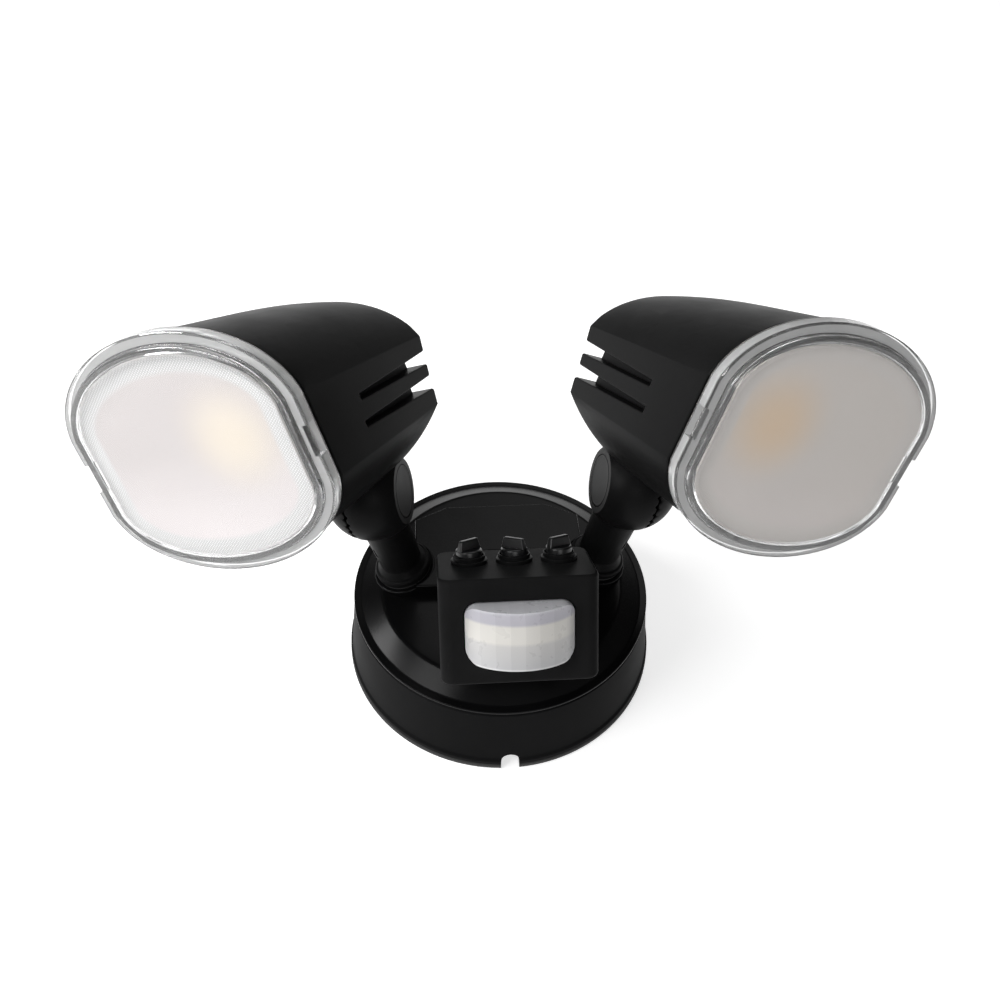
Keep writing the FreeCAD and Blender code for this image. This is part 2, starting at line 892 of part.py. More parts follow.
def centred_plate(width, height, y0, thickness):
    z = lens_middle()
    return block(lens_x - width / 2, lens_x + width / 2, y0, y0 + thickness, z - height / 2, z + height / 2)


def led_screw_points():
    return [(lens_x + side * led_screw_spacing / 2, lens_middle()) for side in (-1, 1)]


def make_led_board():
    body = centred_plate(led_board_width, led_board_height, led_board_front(), led_board_thickness)
    for x, z in led_screw_points():
        body = body.cut(cylinder(led_screw_radius + 0.15, 8, vec(x, led_board_front() - 2, z), Y_AXIS))
    return body


def make_led_chip():
    y = led_board_front() - led_chip_height
    return cylinder(led_chip_radius, led_chip_height, vec(lens_x, y, lens_middle()), Y_AXIS)


def heat_plate_front():
    return led_board_front() + led_board_thickness


def make_heat_plate():
    depth = head_front() + chamber_depth - heat_plate_front()
    body = centred_plate(heat_plate_width, heat_plate_height, heat_plate_front(), depth)
    for x, z in led_screw_points():
        base = vec(x, heat_plate_front() - 0.01, z)
        body = body.cut(cylinder(led_screw_radius, led_screw_length, base, Y_AXIS))
    return body


def make_led_screws():
    screws = []
    front = led_board_front()
    for x, z in led_screw_points():
        under = vec(x, front - led_screw_head_height, z)
        head = cylinder(led_screw_head_radius, led_screw_head_height, under, Y_AXIS)
        shank = cylinder(led_screw_radius - running_gap, led_screw_length, vec(x, front, z), Y_AXIS)
        screws.append(head.fuse(shank))
    return Part.makeCompound(screws)


# Sensor box, in its own upright frame

def place_sensor(shape):
    out = turned(shape, -sensor_lean, X_AXIS)
    return moved(out, vec(sensor_x, sensor_y, sensor_z))


def sensor_pivot_local():
    """The hinge axis of the box, in the box's own frame."""
    dy = pivot_y - sensor_y
    dz = pivot_z - sensor_z
    a = math.radians(sensor_lean)
    return (dy * math.cos(a) - dz * math.sin(a), dy * math.sin(a) + dz * math.cos(a))


def sensor_block(inset):
    half = sensor_width / 2 - inset
    body = block(-half, half, inset, sensor_depth - inset, inset, sensor_height - inset)
    corner = max(sensor_corner - inset, 0.8)
    return rounded(body, corner, is_upright)


def sensor_post_points():
    half = sensor_width / 2 - sensor_post_inset
    low = sensor_post_inset
    high = sensor_height - sensor_post_inset
    return [(x, z) for x in (-half, half) for z in (low, high)]


def pir_slab(grow, bulge, low, high, front):
    """The motion lens as a rounded tile whose front is a part of an upright cylinder."""
    half = pir_width / 2 + grow
    radius = (half * half + bulge * bulge) / (2 * bulge)
    axis_y = radius - bulge
    tile = cylinder(radius, high - low, vec(0, axis_y, low))
    box = block(-half, half, -radius, front, low - 1, high + 1)
    return tile.common(box)


def rounded_tile(half, low, high, corner, y0, y1):
    tile = block(-half, half, y0, y1, low, high)
    return rounded(tile, corner, lambda e: is_along_y(e))


def is_along_y(edge):
    box = edge.BoundBox
    return box.YLength > 0.5 and box.XLength < 0.01 and box.ZLength < 0.01


def pir_high():
    return pir_bottom + pir_height


def make_pir_lens():
    low = pir_bottom
    high = pir_high()
    half = pir_width / 2
    body = pir_slab(0, pir_bulge, low, high, sensor_wall)
    body = body.common(rounded_tile(half, low, high, pir_corner, -pir_bulge - 2, sensor_wall))
    room_front = sensor_wall + cut_over
    inner = pir_slab(-pir_wall, pir_bulge - pir_wall, low + pir_wall, high - pir_wall, room_front)
    y0 = sensor_wall + seat_gap / 3
    grow = pir_flange
    flange = rounded_tile(half + grow, low - grow, high + grow, pir_corner, y0, y0 + pir_flange_thickness)
    neck = rounded_tile(half, low, high, pir_corner, 0, y0 + pir_flange_thickness)
    hole = rounded_tile(half - pir_wall, low + pir_wall, high - pir_wall, pir_corner - 1, -0.5, y0 + 4)
    body = fuse_all([body, neck, flange])
    return body.cut(inner).cut(hole)


def knob_points():
    return [(k * knob_pitch, knob_from_front) for k in (-1, 0, 1)]


def pir_stand_x():
    """The stands for the motion sensor's board, just outside the lens's flange."""
    return pir_width / 2 + pir_flange + 2 * seat_gap + pir_stand_radius


def make_sensor_housing():
    body = sensor_block(0)
    body = rounded(body, sensor_edge, lambda e: is_above(e, sensor_height - 0.1))
    half = sensor_width / 2 - sensor_wall
    room = block(-half, half, sensor_wall, sensor_depth + cut_over, sensor_wall, sensor_height - sensor_wall)
    room = rounded(room, sensor_corner - sensor_wall, is_upright)
    body = body.cut(room)
    for x, z in sensor_post_points():
        length = sensor_depth - sensor_back_thickness - sensor_wall
        body = body.fuse(cylinder(sensor_post_radius, length, vec(x, sensor_wall, z), Y_AXIS))
    for side in (-1, 1):
        foot = vec(side * pir_stand_x(), sensor_wall, pir_bottom + pir_height / 2)
        body = body.fuse(cylinder(pir_stand_radius, pir_board_depth, foot, Y_AXIS))
    low = pir_bottom - seat_gap
    high = pir_high() + seat_gap
    half = pir_width / 2 + seat_gap
    body = body.cut(rounded_tile(half, low, high, pir_corner + seat_gap, -cut_over, sensor_wall + cut_over))
    for x, z in sensor_post_points():
        y = sensor_depth - sensor_screw_length
        body = body.cut(cylinder(sensor_screw_radius, sensor_screw_length + cut_over, vec(x, y, z), Y_AXIS))
    for x, y in knob_points():
        base = vec(x, y, sensor_height - 2 * sensor_wall)
        body = body.cut(cylinder(knob_stem_radius + running_gap + 0.6, 3 * sensor_wall, base))
    return body.removeSplitter()


def make_sensor_back():
    half = sensor_width / 2 - sensor_wall - 0.15
    y0 = sensor_depth - sensor_back_thickness
    low = sensor_wall + 0.15
    plate = block(-half, half, y0, sensor_depth, low, sensor_height - low)
    py, pz = sensor_pivot_local()
    wide = tongue_width / 2
    tongue = block(-wide, wide, y0 + 0.5, py, pz - ear_radius, pz + ear_radius)
    knuckle = cylinder(ear_radius, tongue_width, vec(-wide, py, pz), X_AXIS)
    body = fuse_all([plate, tongue, knuckle])
    body = body.cut(cylinder(pivot_pin_radius + running_gap, 40, vec(-20, py, pz), X_AXIS))
    for x, z in sensor_post_points():
        body = body.cut(cylinder(sensor_screw_radius + 0.15, 10, vec(x, y0 - 3, z), Y_AXIS))
        seat = vec(x, sensor_depth - sensor_screw_head_height, z)
        body = body.cut(cylinder(sensor_screw_head_radius + 0.1, 5, seat, Y_AXIS))
    return body


def make_sensor_screws():
    screws = []
    top = sensor_depth
    for x, z in sensor_post_points():
        seat = vec(x, top - sensor_screw_head_height, z)
        head = cylinder(sensor_screw_head_radius, sensor_screw_head_height, seat, Y_AXIS)
        length = sensor_screw_length - 0.5
        shank = cylinder(sensor_screw_radius - running_gap, length, vec(x, top - length, z), Y_AXIS)
        drive = block(x - 1.5, x + 1.5, top - 0.6, top + 1, z - 0.3, z + 0.3)
        screws.append(head.fuse(shank).cut(drive))
    return Part.makeCompound(screws)


def pir_board_y():
    return sensor_wall + pir_board_depth


def make_pir_board():
    z = pir_bottom + pir_height / 2
    half_w = pir_board_width / 2
    half_h = min(pir_board_height / 2, z - sensor_wall - 0.4)
    y = pir_board_y()
    return block(-half_w, half_w, y, y + pir_board_thickness, z - half_h, z + half_h)


def make_pir_can():
    z = pir_bottom + pir_height / 2
    y = pir_board_y() - pir_can_height
    flange = cylinder(pir_can_radius + 0.6, 0.5, vec(0, pir_board_y() - 0.5, z), Y_AXIS)
    return cylinder(pir_can_radius, pir_can_height, vec(0, y, z), Y_AXIS).fuse(flange)


def make_collars():
    rings = []
    for x, y in knob_points():
        base = vec(x, y, sensor_height)
        inner = knob_skirt_radius + seat_gap
        rings.append(ring(collar_radius, inner, collar_height, base))
    return Part.makeCompound(rings)


def knob_base():
    return sensor_height + seat_gap


def knob_blade():
    """A grip that narrows upwards, standing on the origin along X."""
    height = knob_blade_height + 0.5
    low_x = knob_blade_length / 2
    high_x = low_x * 0.8
    low_y = knob_blade_width / 2
    high_y = low_y * 0.64
    low = [vec(-low_x, -low_y, 0), vec(low_x, -low_y, 0), vec(low_x, low_y, 0), vec(-low_x, low_y, 0)]
    high = [vec(-high_x, -high_y, height), vec(high_x, -high_y, height)]
    high += [vec(high_x, high_y, height), vec(-high_x, high_y, height)]
    return Part.makeLoft([Part.makePolygon(low + low[:1]), Part.makePolygon(high + high[:1])], True, True)


def make_knob(index):
    x, y = knob_points()[index]
    z = knob_base()
    skirt = cylinder(knob_skirt_radius, knob_skirt_height, vec(x, y, z))
    skirt = rounded(skirt, 0.5, lambda e: e.BoundBox.ZMin > z + knob_skirt_height - 0.01)
    blade = moved(knob_blade(), vec(x, y, z + knob_skirt_height - 0.5))
    blade = turned(blade, knob_angles[index], Z_AXIS, vec(x, y, 0))
    stem = cylinder(knob_stem_radius, knob_stem_length, vec(x, y, z - knob_stem_length))
    return fuse_all([skirt, blade, stem])


def pot_top():
    return sensor_height - sensor_wall - seat_gap


def make_pots():
    pots = []
    for x, y in knob_points():
        half = pot_size / 2
        top = pot_top()
        body = block(x - half, x + half, y - half, y + half, top - pot_height, top)
        bore = knob_stem_radius + running_gap
        body = body.cut(cylinder(bore, pot_height + 2, vec(x, y, top - pot_height - 1)))
        pots.append(body)
    return Part.makeCompound(pots)


def make_control_board():
    top = pot_top() - pot_height
    half = knob_pitch + pot_size / 2 + 1.5
    y0 = knob_from_front - pot_size / 2 - 1.0
    y1 = sensor_depth - sensor_back_thickness - 1.0
    return block(-half, half, y0, y1, top - 1.6, top)


# Sensor bracket, in the light's own frame

def ear(side):
    inner = tongue_width / 2 + seat_gap
    outer = inner + ear_thickness
    x0 = sensor_x + (inner if side > 0 else -outer)
    level = plateau_height + block_height
    a = vec(x0, block_front + 1.0, level)
    b = vec(x0, bracket_foot_rear, level)
    c = vec(x0, bracket_foot_rear, level + bracket_foot_height)
    d = vec(x0, pivot_y + ear_radius * 0.75, pivot_z + ear_radius * 0.66)
    e = vec(x0, pivot_y - ear_radius * 0.5, pivot_z - ear_radius * 0.85)
    plate = Part.Face(Part.makePolygon([a, b, c, d, e, a])).extrude(vec(ear_thickness, 0, 0))
    eye = cylinder(ear_radius, ear_thickness, vec(x0, pivot_y, pivot_z), X_AXIS)
    return plate.fuse(eye)


def make_sensor_bracket():
    level = plateau_height + block_height
    reach = tongue_width / 2 + seat_gap + ear_thickness
    foot_top = level + bracket_foot_height
    foot_front = block_front + 1.0
    foot = block(sensor_x - reach, sensor_x + reach, foot_front, bracket_foot_rear, level, foot_top)
    body = fuse_all([foot, ear(-1), ear(1)])
    body = body.cut(cylinder(pivot_pin_radius, 60, vec(sensor_x - 30, pivot_y, pivot_z), X_AXIS))
    for p in bracket_screw_points():
        seat = p + vec(0, 0, foot_top - bracket_screw_head_height)
        body = body.cut(cylinder(bracket_screw_head_radius + 0.2, 20, seat))
        body = body.cut(cylinder(bracket_screw_radius + 0.1, 20, p + vec(0, 0, level - 1)))
    return body


def make_sensor_pin():
    reach = tongue_width / 2 + seat_gap + ear_thickness
    start = vec(sensor_x - reach, pivot_y, pivot_z)
    pin = cylinder(pivot_pin_radius, 2 * reach + 0.6, start, X_AXIS)
    head_base = start - vec(pivot_pin_head_height, 0, 0)
    head = cylinder(pivot_pin_head_radius, pivot_pin_head_height, head_base, X_AXIS)
    clip = ring(pivot_pin_head_radius, pivot_pin_radius, 0.6, start + vec(2 * reach, 0, 0), X_AXIS)
    return fuse_all([pin, head, clip])


def make_bracket_screws():
    screws = []
    level = plateau_height + block_height + bracket_foot_height
    for p in bracket_screw_points():
        seat = p + vec(0, 0, level - bracket_screw_head_height)
        head = cylinder(bracket_screw_head_radius, bracket_screw_head_height, seat)
        length = bracket_screw_length + bracket_foot_height - 1.0
        shank = cylinder(bracket_screw_radius - running_gap, length, p + vec(0, 0, level - length))
        screws.append(head.fuse(shank))
    return Part.makeCompound(screws)


def build_base():
    save(make_base_housing(), "base_housing")
    save(make_wall_gasket(), "wall_gasket")
    save(make_mounting_plate(), "mounting_plate")
    save(make_plate_screws(), "plate_screws")
    save(make_cable_grommet(), "cable_grommet")
    save(make_terminal_block(), "terminal_block")
    save(make_terminal_screws(), "terminal_screws")
    save(make_driver_board(), "driver_board")
    save(make_driver_standoffs(), "driver_standoffs")


def build_side(name, swivel, tilt, left):
    arm_pieces = (
        ("arm", make_arm()),
        ("disc_cap", make_disc_cap()),
        ("hinge_bolt", make_hinge_bolt()),
        ("lock_nut", make_lock_nut()),
        ("foot_seal", make_foot_seal()),
    )
    for node, shape in arm_pieces:
        save(place_on_arm(shape, swivel, left), node + "_" + name)
    save(place_head(make_head_housing(), tilt, swivel, left), "head_housing_" + name)
    save(place_head(make_hinge_nut(), tilt, swivel, left), "hinge_nut_" + name)
    head_pieces = (
        ("head_gasket", make_head_gasket()),
        ("lens_cover", make_lens_cover()),
        ("diffuser", make_diffuser()),
        ("reflector", make_reflector()),
        ("led_board", make_led_board()),
        ("led_chip", make_led_chip()),
        ("heat_plate", make_heat_plate()),
        ("led_screws", make_led_screws()),
    )
    for node, shape in head_pieces:
        save(place_head(roll_head(shape), tilt, swivel, left), node + "_" + name)


def build_sensor():
    pieces = (
        ("sensor_housing", make_sensor_housing()),
        ("sensor_back", make_sensor_back()),
        ("sensor_screws", make_sensor_screws()),
        ("pir_lens", make_pir_lens()),
        ("pir_board", make_pir_board()),
        ("pir_detector", make_pir_can()),
        ("knob_collars", make_collars()),
        ("trimmers", make_pots()),
        ("control_board", make_control_board()),
        ("knob_left", make_knob(0)),
        ("knob_middle", make_knob(1)),
        ("knob_right", make_knob(2)),
    )
    for node, shape in pieces:
        save(place_sensor(shape), node)
    save(make_sensor_bracket(), "sensor_bracket")
    save(make_sensor_pin(), "sensor_pin")
    save(make_bracket_screws(), "bracket_screws")


build_base()
build_side("right", swivel_right, tilt_right, False)
build_side("left", swivel_left, tilt_left, True)
build_sensor()
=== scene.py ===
"""Looks of a twin-lamp motion sensor security light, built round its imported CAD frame.

The light stands on the back of its round base, which is the side that goes on a wall or a soffit.
X runs across the light, -Y is the side that the lamps and the sensor face, and +Z leaves the base.
Lengths are in millimetres and angles in degrees, apart from mesh points, which are in metres.
"""

import logging
import math
from collections.abc import Callable
from dataclasses import dataclass, field
from enum import Enum
from typing import ClassVar

import bmesh
import bpy
from mathutils import Matrix, Vector


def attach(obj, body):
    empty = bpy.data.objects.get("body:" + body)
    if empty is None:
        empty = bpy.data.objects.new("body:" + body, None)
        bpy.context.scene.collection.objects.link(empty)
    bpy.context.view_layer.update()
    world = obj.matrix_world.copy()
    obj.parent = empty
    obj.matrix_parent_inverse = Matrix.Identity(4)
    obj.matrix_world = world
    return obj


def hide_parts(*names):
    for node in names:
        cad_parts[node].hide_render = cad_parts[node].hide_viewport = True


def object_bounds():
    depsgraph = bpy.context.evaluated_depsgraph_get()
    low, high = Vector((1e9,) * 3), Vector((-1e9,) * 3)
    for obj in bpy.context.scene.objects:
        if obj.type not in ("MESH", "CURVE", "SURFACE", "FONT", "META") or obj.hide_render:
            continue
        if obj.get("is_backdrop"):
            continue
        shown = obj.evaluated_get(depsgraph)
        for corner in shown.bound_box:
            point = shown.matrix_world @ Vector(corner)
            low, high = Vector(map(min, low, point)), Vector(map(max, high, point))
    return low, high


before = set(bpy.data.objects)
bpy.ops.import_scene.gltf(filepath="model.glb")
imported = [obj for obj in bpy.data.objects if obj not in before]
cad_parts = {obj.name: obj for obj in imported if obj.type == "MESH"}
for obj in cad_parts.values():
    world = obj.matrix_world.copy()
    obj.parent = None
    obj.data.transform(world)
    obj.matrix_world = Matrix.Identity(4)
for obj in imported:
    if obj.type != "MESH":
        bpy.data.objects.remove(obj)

LOG = logging.getLogger("security_light")
MM = 0.001

# Distances below which points count as one.
CAD_MERGE = 0.003
MERGE = 0.002
FINE_MERGE = 0.001

# Angles between two faces: still flat on a CAD node, sharp enough to round, and kept as a crease.
CAD_FLAT = 0.6
SHARP_EDGE = 32.0
CREASE = 40.0

# Where an arm stands on the base, and how far it leans outwards.
ARM_FOOT = (34.4, 4.7)
ARM_LEAN = 12.7
PLATEAU_HEIGHT = 35.5

Mesh = bmesh.types.BMesh
Socket = bpy.types.NodeSocket
Point = tuple[float, float]
Triple = tuple[float, float, float]
Colour = tuple[float, float, float]
Stop = tuple[float, Colour]


class Side(Enum):
    """The two lamps, named as the viewer sees them."""

    LEFT = "left"
    RIGHT = "right"

    def named(self, stem: str) -> str:
        """Returns the name of this side's copy of a piece."""
        return f"{stem}_{self.value}"


class CoverZone(Enum):
    """Zones of a clear cover, as numbers of its material slots."""

    RIM = 0
    FLANGE = 1
    FACE = 2


class MixSocket(Enum):
    """Numbers of a colour mix node's sockets, which share their names."""

    FIRST = 6
    SECOND = 7
    RESULT = 2


class Blend(Enum):
    """Ways to mix two colours, by Blender's names."""

    MIX = "MIX"
    MULTIPLY = "MULTIPLY"


# Shader building


def grey(level: float) -> Colour:
    """Returns a neutral colour."""
    return (level, level, level)


class Graph:
    """Adds shader nodes to one material or world and joins them."""

    def __init__(self, tree: bpy.types.NodeTree) -> None:
        """Empties the node tree of a material or of the world."""
        self.tree = tree
        self.tree.nodes.clear()

    def add(
        self, kind: str, entries: dict[str | int, object] | None = None, **settings: object
    ) -> bpy.types.Node:
        """Adds one node.

        Args:
            kind: Blender's name of the node type, without ShaderNode in front.
            entries: What goes into its inputs, by name or number: constants or other nodes' outputs.
            **settings: Properties of the node itself.

        Returns:
            The new node.
        """
        node = self.tree.nodes.new("ShaderNode" + kind)
        for name, value in settings.items():
            setattr(node, name, value)
        for name, value in (entries or {}).items():
            if isinstance(value, bpy.types.NodeSocket):
                self.tree.links.new(value, node.inputs[name])
            else:
                node.inputs[name].default_value = value
        return node

    def noise(self, scale: float, detail: float = 2.0) -> Socket:
        """Adds a noise texture that sits still on the object.

        Args:
            scale: Noise cells per metre.
            detail: Octaves of finer noise.

        Returns:
            The noise's value.
        """
        place = self.add("TexCoord").outputs["Object"]
        entries = {"Vector": place, "Scale": scale, "Detail": detail, "Roughness": 0.55}
        return self.add("TexNoise", entries).outputs["Fac"]

    def sheet(self) -> tuple[Socket, Socket]:
        """Returns the place on the piece's own flat map, and the height on it."""
        flat = self.add("UVMap", uv_map="sheet").outputs["UV"]
        return flat, self.add("SeparateXYZ", {"Vector": flat}).outputs["Y"]

    def spread(self, value: Socket, low: float, high: float) -> Socket:
        """Maps a texture's middle values to a range of one shader input."""
        entries = {"Value": value, "From Min": 0.3, "From Max": 0.7, "To Min": low, "To Max": high}
        return self.add("MapRange", entries).outputs["Result"]

    def ramp(self, value: Socket, *stops: Stop) -> Socket:
        """Maps a value to colours.

        Args:
            value: The value.
            *stops: Places along the ramp with their colours.

        Returns:
            The colour.
        """
        node = self.add("ValToRGB", {"Fac": value})
        elements = node.color_ramp.elements
        while len(elements) < len(stops):
            elements.new(0.5)
        for element, (place, colour) in zip(elements, stops):
            element.position = place
            element.color = (*colour, 1.0)
        return node.outputs["Color"]

    def mix(
        self, first: Socket, second: Socket | Colour, share: Socket | float, blend: Blend = Blend.MIX
    ) -> Socket:
        """Mixes two colours.

        Args:
            first: Colour where the share is 0.
            second: Colour where the share is 1.
            share: Share of the second colour.
            blend: Way to mix them.

        Returns:
            The mixed colour.
        """
        if isinstance(second, tuple):
            second = (*second, 1.0)
        entries = {"Factor": share, MixSocket.FIRST.value: first, MixSocket.SECOND.value: second}
        node = self.add("Mix", entries, data_type="RGBA", blend_type=blend.value)
        return node.outputs[MixSocket.RESULT.value]

    def bump(self, height: Socket, strength: Socket | float, depth: float) -> Socket:
        """Turns a value into small relief, with its depth in metres."""
        entries = {"Height": height, "Strength": strength, "Distance": depth}
        return self.add("Bump", entries).outputs["Normal"]

    def surface(self, shader: bpy.types.Node) -> None:
        """Joins the last shader to the surface output."""
        self.add("OutputMaterial", {"Surface": shader.outputs[0]})

    def close(self, colour: Socket, rough: Socket, relief: Socket, entries: dict[str, float]) -> None:
        """Ends a finish with its one shader.

        Args:
            colour: Its colour.
            rough: Its roughness.
            relief: Its small relief.
            entries: Constants for the shader's other inputs, by name.
        """
        joined = {"Base Color": colour, "Roughness": rough, "Normal": relief}
        self.surface(self.add("BsdfPrincipled", joined | entries))


# Finishes


@dataclass(frozen=True)
class Finish:
    """A finish with its place in the record's material slots, which is empty for the studio's own.

    Texture scales are per metre, or per unit of the flat map, and depths of relief are in metres.
    """

    name: str
    slot: str

    def material(self) -> bpy.types.Material:
        """Finds the finish's material, and builds it on first use.

        Returns:
            The material.
        """
        found = bpy.data.materials.get(self.name)
        if found is None:
            found = bpy.data.materials.new(self.name)
            found.use_nodes = True
            self.fill(Graph(found.node_tree))
        return found

    def fill(self, graph: Graph) -> None:
        """Builds the shader. Each finish has its own."""
        raise NotImplementedError


@dataclass(frozen=True)
class MouldedPlastic(Finish):
    """Opaque injection-moulded plastic with a fine eroded grain."""

    dark: Colour
    light: Colour
    smoothest: float
    roughest: float
    grain_scale: float = 1500.0
    grain_depth: float = 0.00003
    grain_strength: float = 0.35
    cloud_scale: float = 45.0
    shine: float = 0.5

    def fill(self, graph: Graph) -> None:
        """Builds a dielectric with grain, cloudy roughness and a faint change of shade.

        Args:
            graph: Graph of the finish's material.
        """
        clouds = graph.noise(self.cloud_scale, 3.0)
        graph.close(
            graph.ramp(clouds, (0.35, self.dark), (0.65, self.light)),
            graph.spread(clouds, self.smoothest, self.roughest),
            graph.bump(graph.noise(self.grain_scale), self.grain_strength, self.grain_depth),
            {"IOR": 1.5, "Specular IOR Level": self.shine},
        )


@dataclass(frozen=True)
class PlainMetal(Finish):
    """Bare or plated metal with fine scratches."""

    dark: Colour
    light: Colour
    smoothest: float = 0.25
    roughest: float = 0.45
    stretch: float = 14.0
    scratch_scale: float = 420.0
    scratch_depth: float = 0.00001

    def fill(self, graph: Graph) -> None:
        """Builds a metal with stretched noise for its roughness and relief.

        Args:
            graph: Graph of the finish's material.
        """
        place = graph.add("TexCoord").outputs["Object"]
        long = graph.add("Mapping", {"Vector": place, "Scale": (1.0, 1.0, self.stretch)}).outputs["Vector"]
        entries = {"Vector": long, "Scale": self.scratch_scale, "Detail": 4.0}
        scratches = graph.add("TexNoise", entries).outputs["Fac"]
        graph.close(
            graph.ramp(scratches, (0.3, self.dark), (0.7, self.light)),
            graph.spread(scratches, self.smoothest, self.roughest),
            graph.bump(scratches, 0.2, self.scratch_depth),
            {"Metallic": 1.0},
        )


@dataclass(frozen=True)
class BoardLacquer(Finish):
    """Circuit board with its lacquer over faint copper tracks."""

    ground: Colour
    track: Colour
    track_scale: float = 130.0
    shaded: float = 0.85

    def fill(self, graph: Graph) -> None:
        """Builds a glossy lacquer with lines like copper tracks under it.

        Args:
            graph: Graph of the finish's material.
        """
        shaded = tuple(part * self.shaded for part in self.ground)
        entries = {
            "Vector": graph.add("TexCoord").outputs["Object"], "Scale": self.track_scale,
            "Mortar Size": 0.06, "Mortar Smooth": 0.2,
            "Color1": (*self.ground, 1.0), "Color2": (*shaded, 1.0), "Mortar": (*self.track, 1.0),
        }
        tracks = graph.add("TexBrick", entries).outputs
        graph.close(
            tracks["Color"], graph.spread(graph.noise(220.0), 0.28, 0.45),
            graph.bump(tracks["Fac"], 0.3, 0.00003), {"IOR": 1.5},
        )


@dataclass(frozen=True)
class ClearPlastic(Finish):
    """Clear moulded plastic with a faint waviness, thick and light-bending or thin and see-through."""

    dark: Colour
    light: Colour
    smoothest: float
    roughest: float
    wave_scale: float
    wave_depth: float
    clearness: float = 0.0
    opacity: float = 1.0

    def fill(self, graph: Graph) -> None:
        """Builds slightly cloudy plastic that lets most light through.

        Args:
            graph: Graph of the finish's material.
        """
        waves = graph.noise(self.wave_scale)
        graph.close(
            graph.ramp(waves, (0.3, self.dark), (0.7, self.light)),
            graph.spread(waves, self.smoothest, self.roughest),
            graph.bump(waves, 0.1, self.wave_depth),
            {"IOR": 1.49, "Transmission Weight": self.clearness, "Alpha": self.opacity},
        )


@dataclass(frozen=True)
class FrostedDiffuser(Finish):
    """White frosted sheet with small prisms near its edge, warm where the yellow chip shows through, and
    painted lighter towards its bottom as painted light.
    """

    white: Colour
    # Painted light: the colour at the sheet's bottom, lighter than its upper colour.
    painted_light_low: Colour
    warm: Colour
    prism_light: Colour
    prism_dark: Colour
    warm_spot: Point = (-0.078, 0.51)
    warm_reach: float = 0.22
    prism_scale: float = 150.0
    prism_turn: float = 38.0
    prism_depth: float = 0.00004

    def warm_share(self, graph: Graph, flat: Socket) -> Socket:
        """Makes the soft round spot of warm light.

        Args:
            graph: Graph of the finish's material.
            flat: Place on the flat map.

        Returns:
            Share of the warm colour.
        """
        entries = {"Vector": flat, "Location": (*self.warm_spot, 0.0), "Scale": grey(self.warm_reach)}
        moved = graph.add("Mapping", entries, vector_type="TEXTURE").outputs["Vector"]
        spot = graph.add("TexGradient", {"Vector": moved}, gradient_type="SPHERICAL").outputs["Fac"]
        return graph.add("MapRange", {"Value": spot}, interpolation_type="SMOOTHERSTEP").outputs["Result"]

    def fill(self, graph: Graph) -> None:
        """Builds a white sheet with a soft warm spot, a band of small prisms and painted light that grows
        towards its bottom.

        Args:
            graph: Graph of the finish's material.
        """
        flat, height = graph.sheet()
        clouds = graph.noise(60.0, 3.0)
        # Painted light: the colour grows lighter towards the sheet's bottom.
        painted_light_slope = graph.ramp(height, (0.12, self.painted_light_low), (0.5, self.white))
        mottle = graph.ramp(clouds, (0.3, grey(0.97)), (0.7, grey(1.0)))
        shade = graph.mix(painted_light_slope, mottle, 1.0, Blend.MULTIPLY)
        warmed = graph.mix(shade, self.warm, self.warm_share(graph, flat))
        turn = (0.0, 0.0, math.radians(self.prism_turn))
        slanted = graph.add("Mapping", {"Vector": flat, "Rotation": turn}).outputs["Vector"]
        entries = {"Vector": slanted, "Scale": self.prism_scale, "Randomness": 0.0}
        prisms = graph.add("TexVoronoi", entries, feature="F1", distance="CHEBYCHEV").outputs["Distance"]
        band = graph.add("Attribute", attribute_name="prism_band").outputs["Fac"]
        dots = graph.ramp(prisms, (0.2, self.prism_light), (0.45, self.prism_dark))
        graph.close(
            graph.mix(warmed, dots, band), graph.spread(clouds, 0.42, 0.6),
            graph.bump(prisms, band, self.prism_depth), {"IOR": 1.49},
        )


@dataclass(frozen=True)
class MilkyPolymer(Finish):
    """Milky thin plastic of the motion lens, in bands up its height, with painted highlight lines along its
    lower and upper edge and a painted highlight at its glancing edges.
    """

    # Colour bands up the lens's height; the first and last stop are painted highlight lines along its lower
    # and upper edge.
    bands: tuple[Stop, ...]
    # Painted highlight: the pale colour mixed in where the lens is seen at a glancing angle.
    edge: Colour
    stripe_scale: float = 2.4

    def fill(self, graph: Graph) -> None:
        """Builds a cloudy sheet with soft bands, painted highlight lines along its lower and upper edge,
        faint upright stripes and a painted highlight at its glancing edges.

        Args:
            graph: Graph of the finish's material.
        """
        flat, height = graph.sheet()
        entries = {"Vector": flat, "Scale": self.stripe_scale, "Distortion": 0.4, "Detail": 1.0}
        stripes = graph.add("TexWave", entries, wave_profile="SAW").outputs["Fac"]
        tone = graph.ramp(stripes, (0.0, grey(0.93)), (1.0, grey(1.0)))
        striped = graph.mix(graph.ramp(height, *self.bands), tone, 1.0, Blend.MULTIPLY)
        # Painted highlight: paler where the surface is seen edge-on.
        painted_highlight_facing = graph.add("LayerWeight", {"Blend": 0.35}).outputs["Facing"]
        reach = graph.ramp(painted_highlight_facing, (0.35, grey(0.0)), (0.85, grey(1.0)))
        clouds = graph.noise(300.0)
        graph.close(
            graph.mix(striped, self.edge, reach), graph.spread(clouds, 0.26, 0.34),
            graph.bump(clouds, 0.1, 0.00001), {"IOR": 1.5, "Transmission Weight": 0.02},
        )


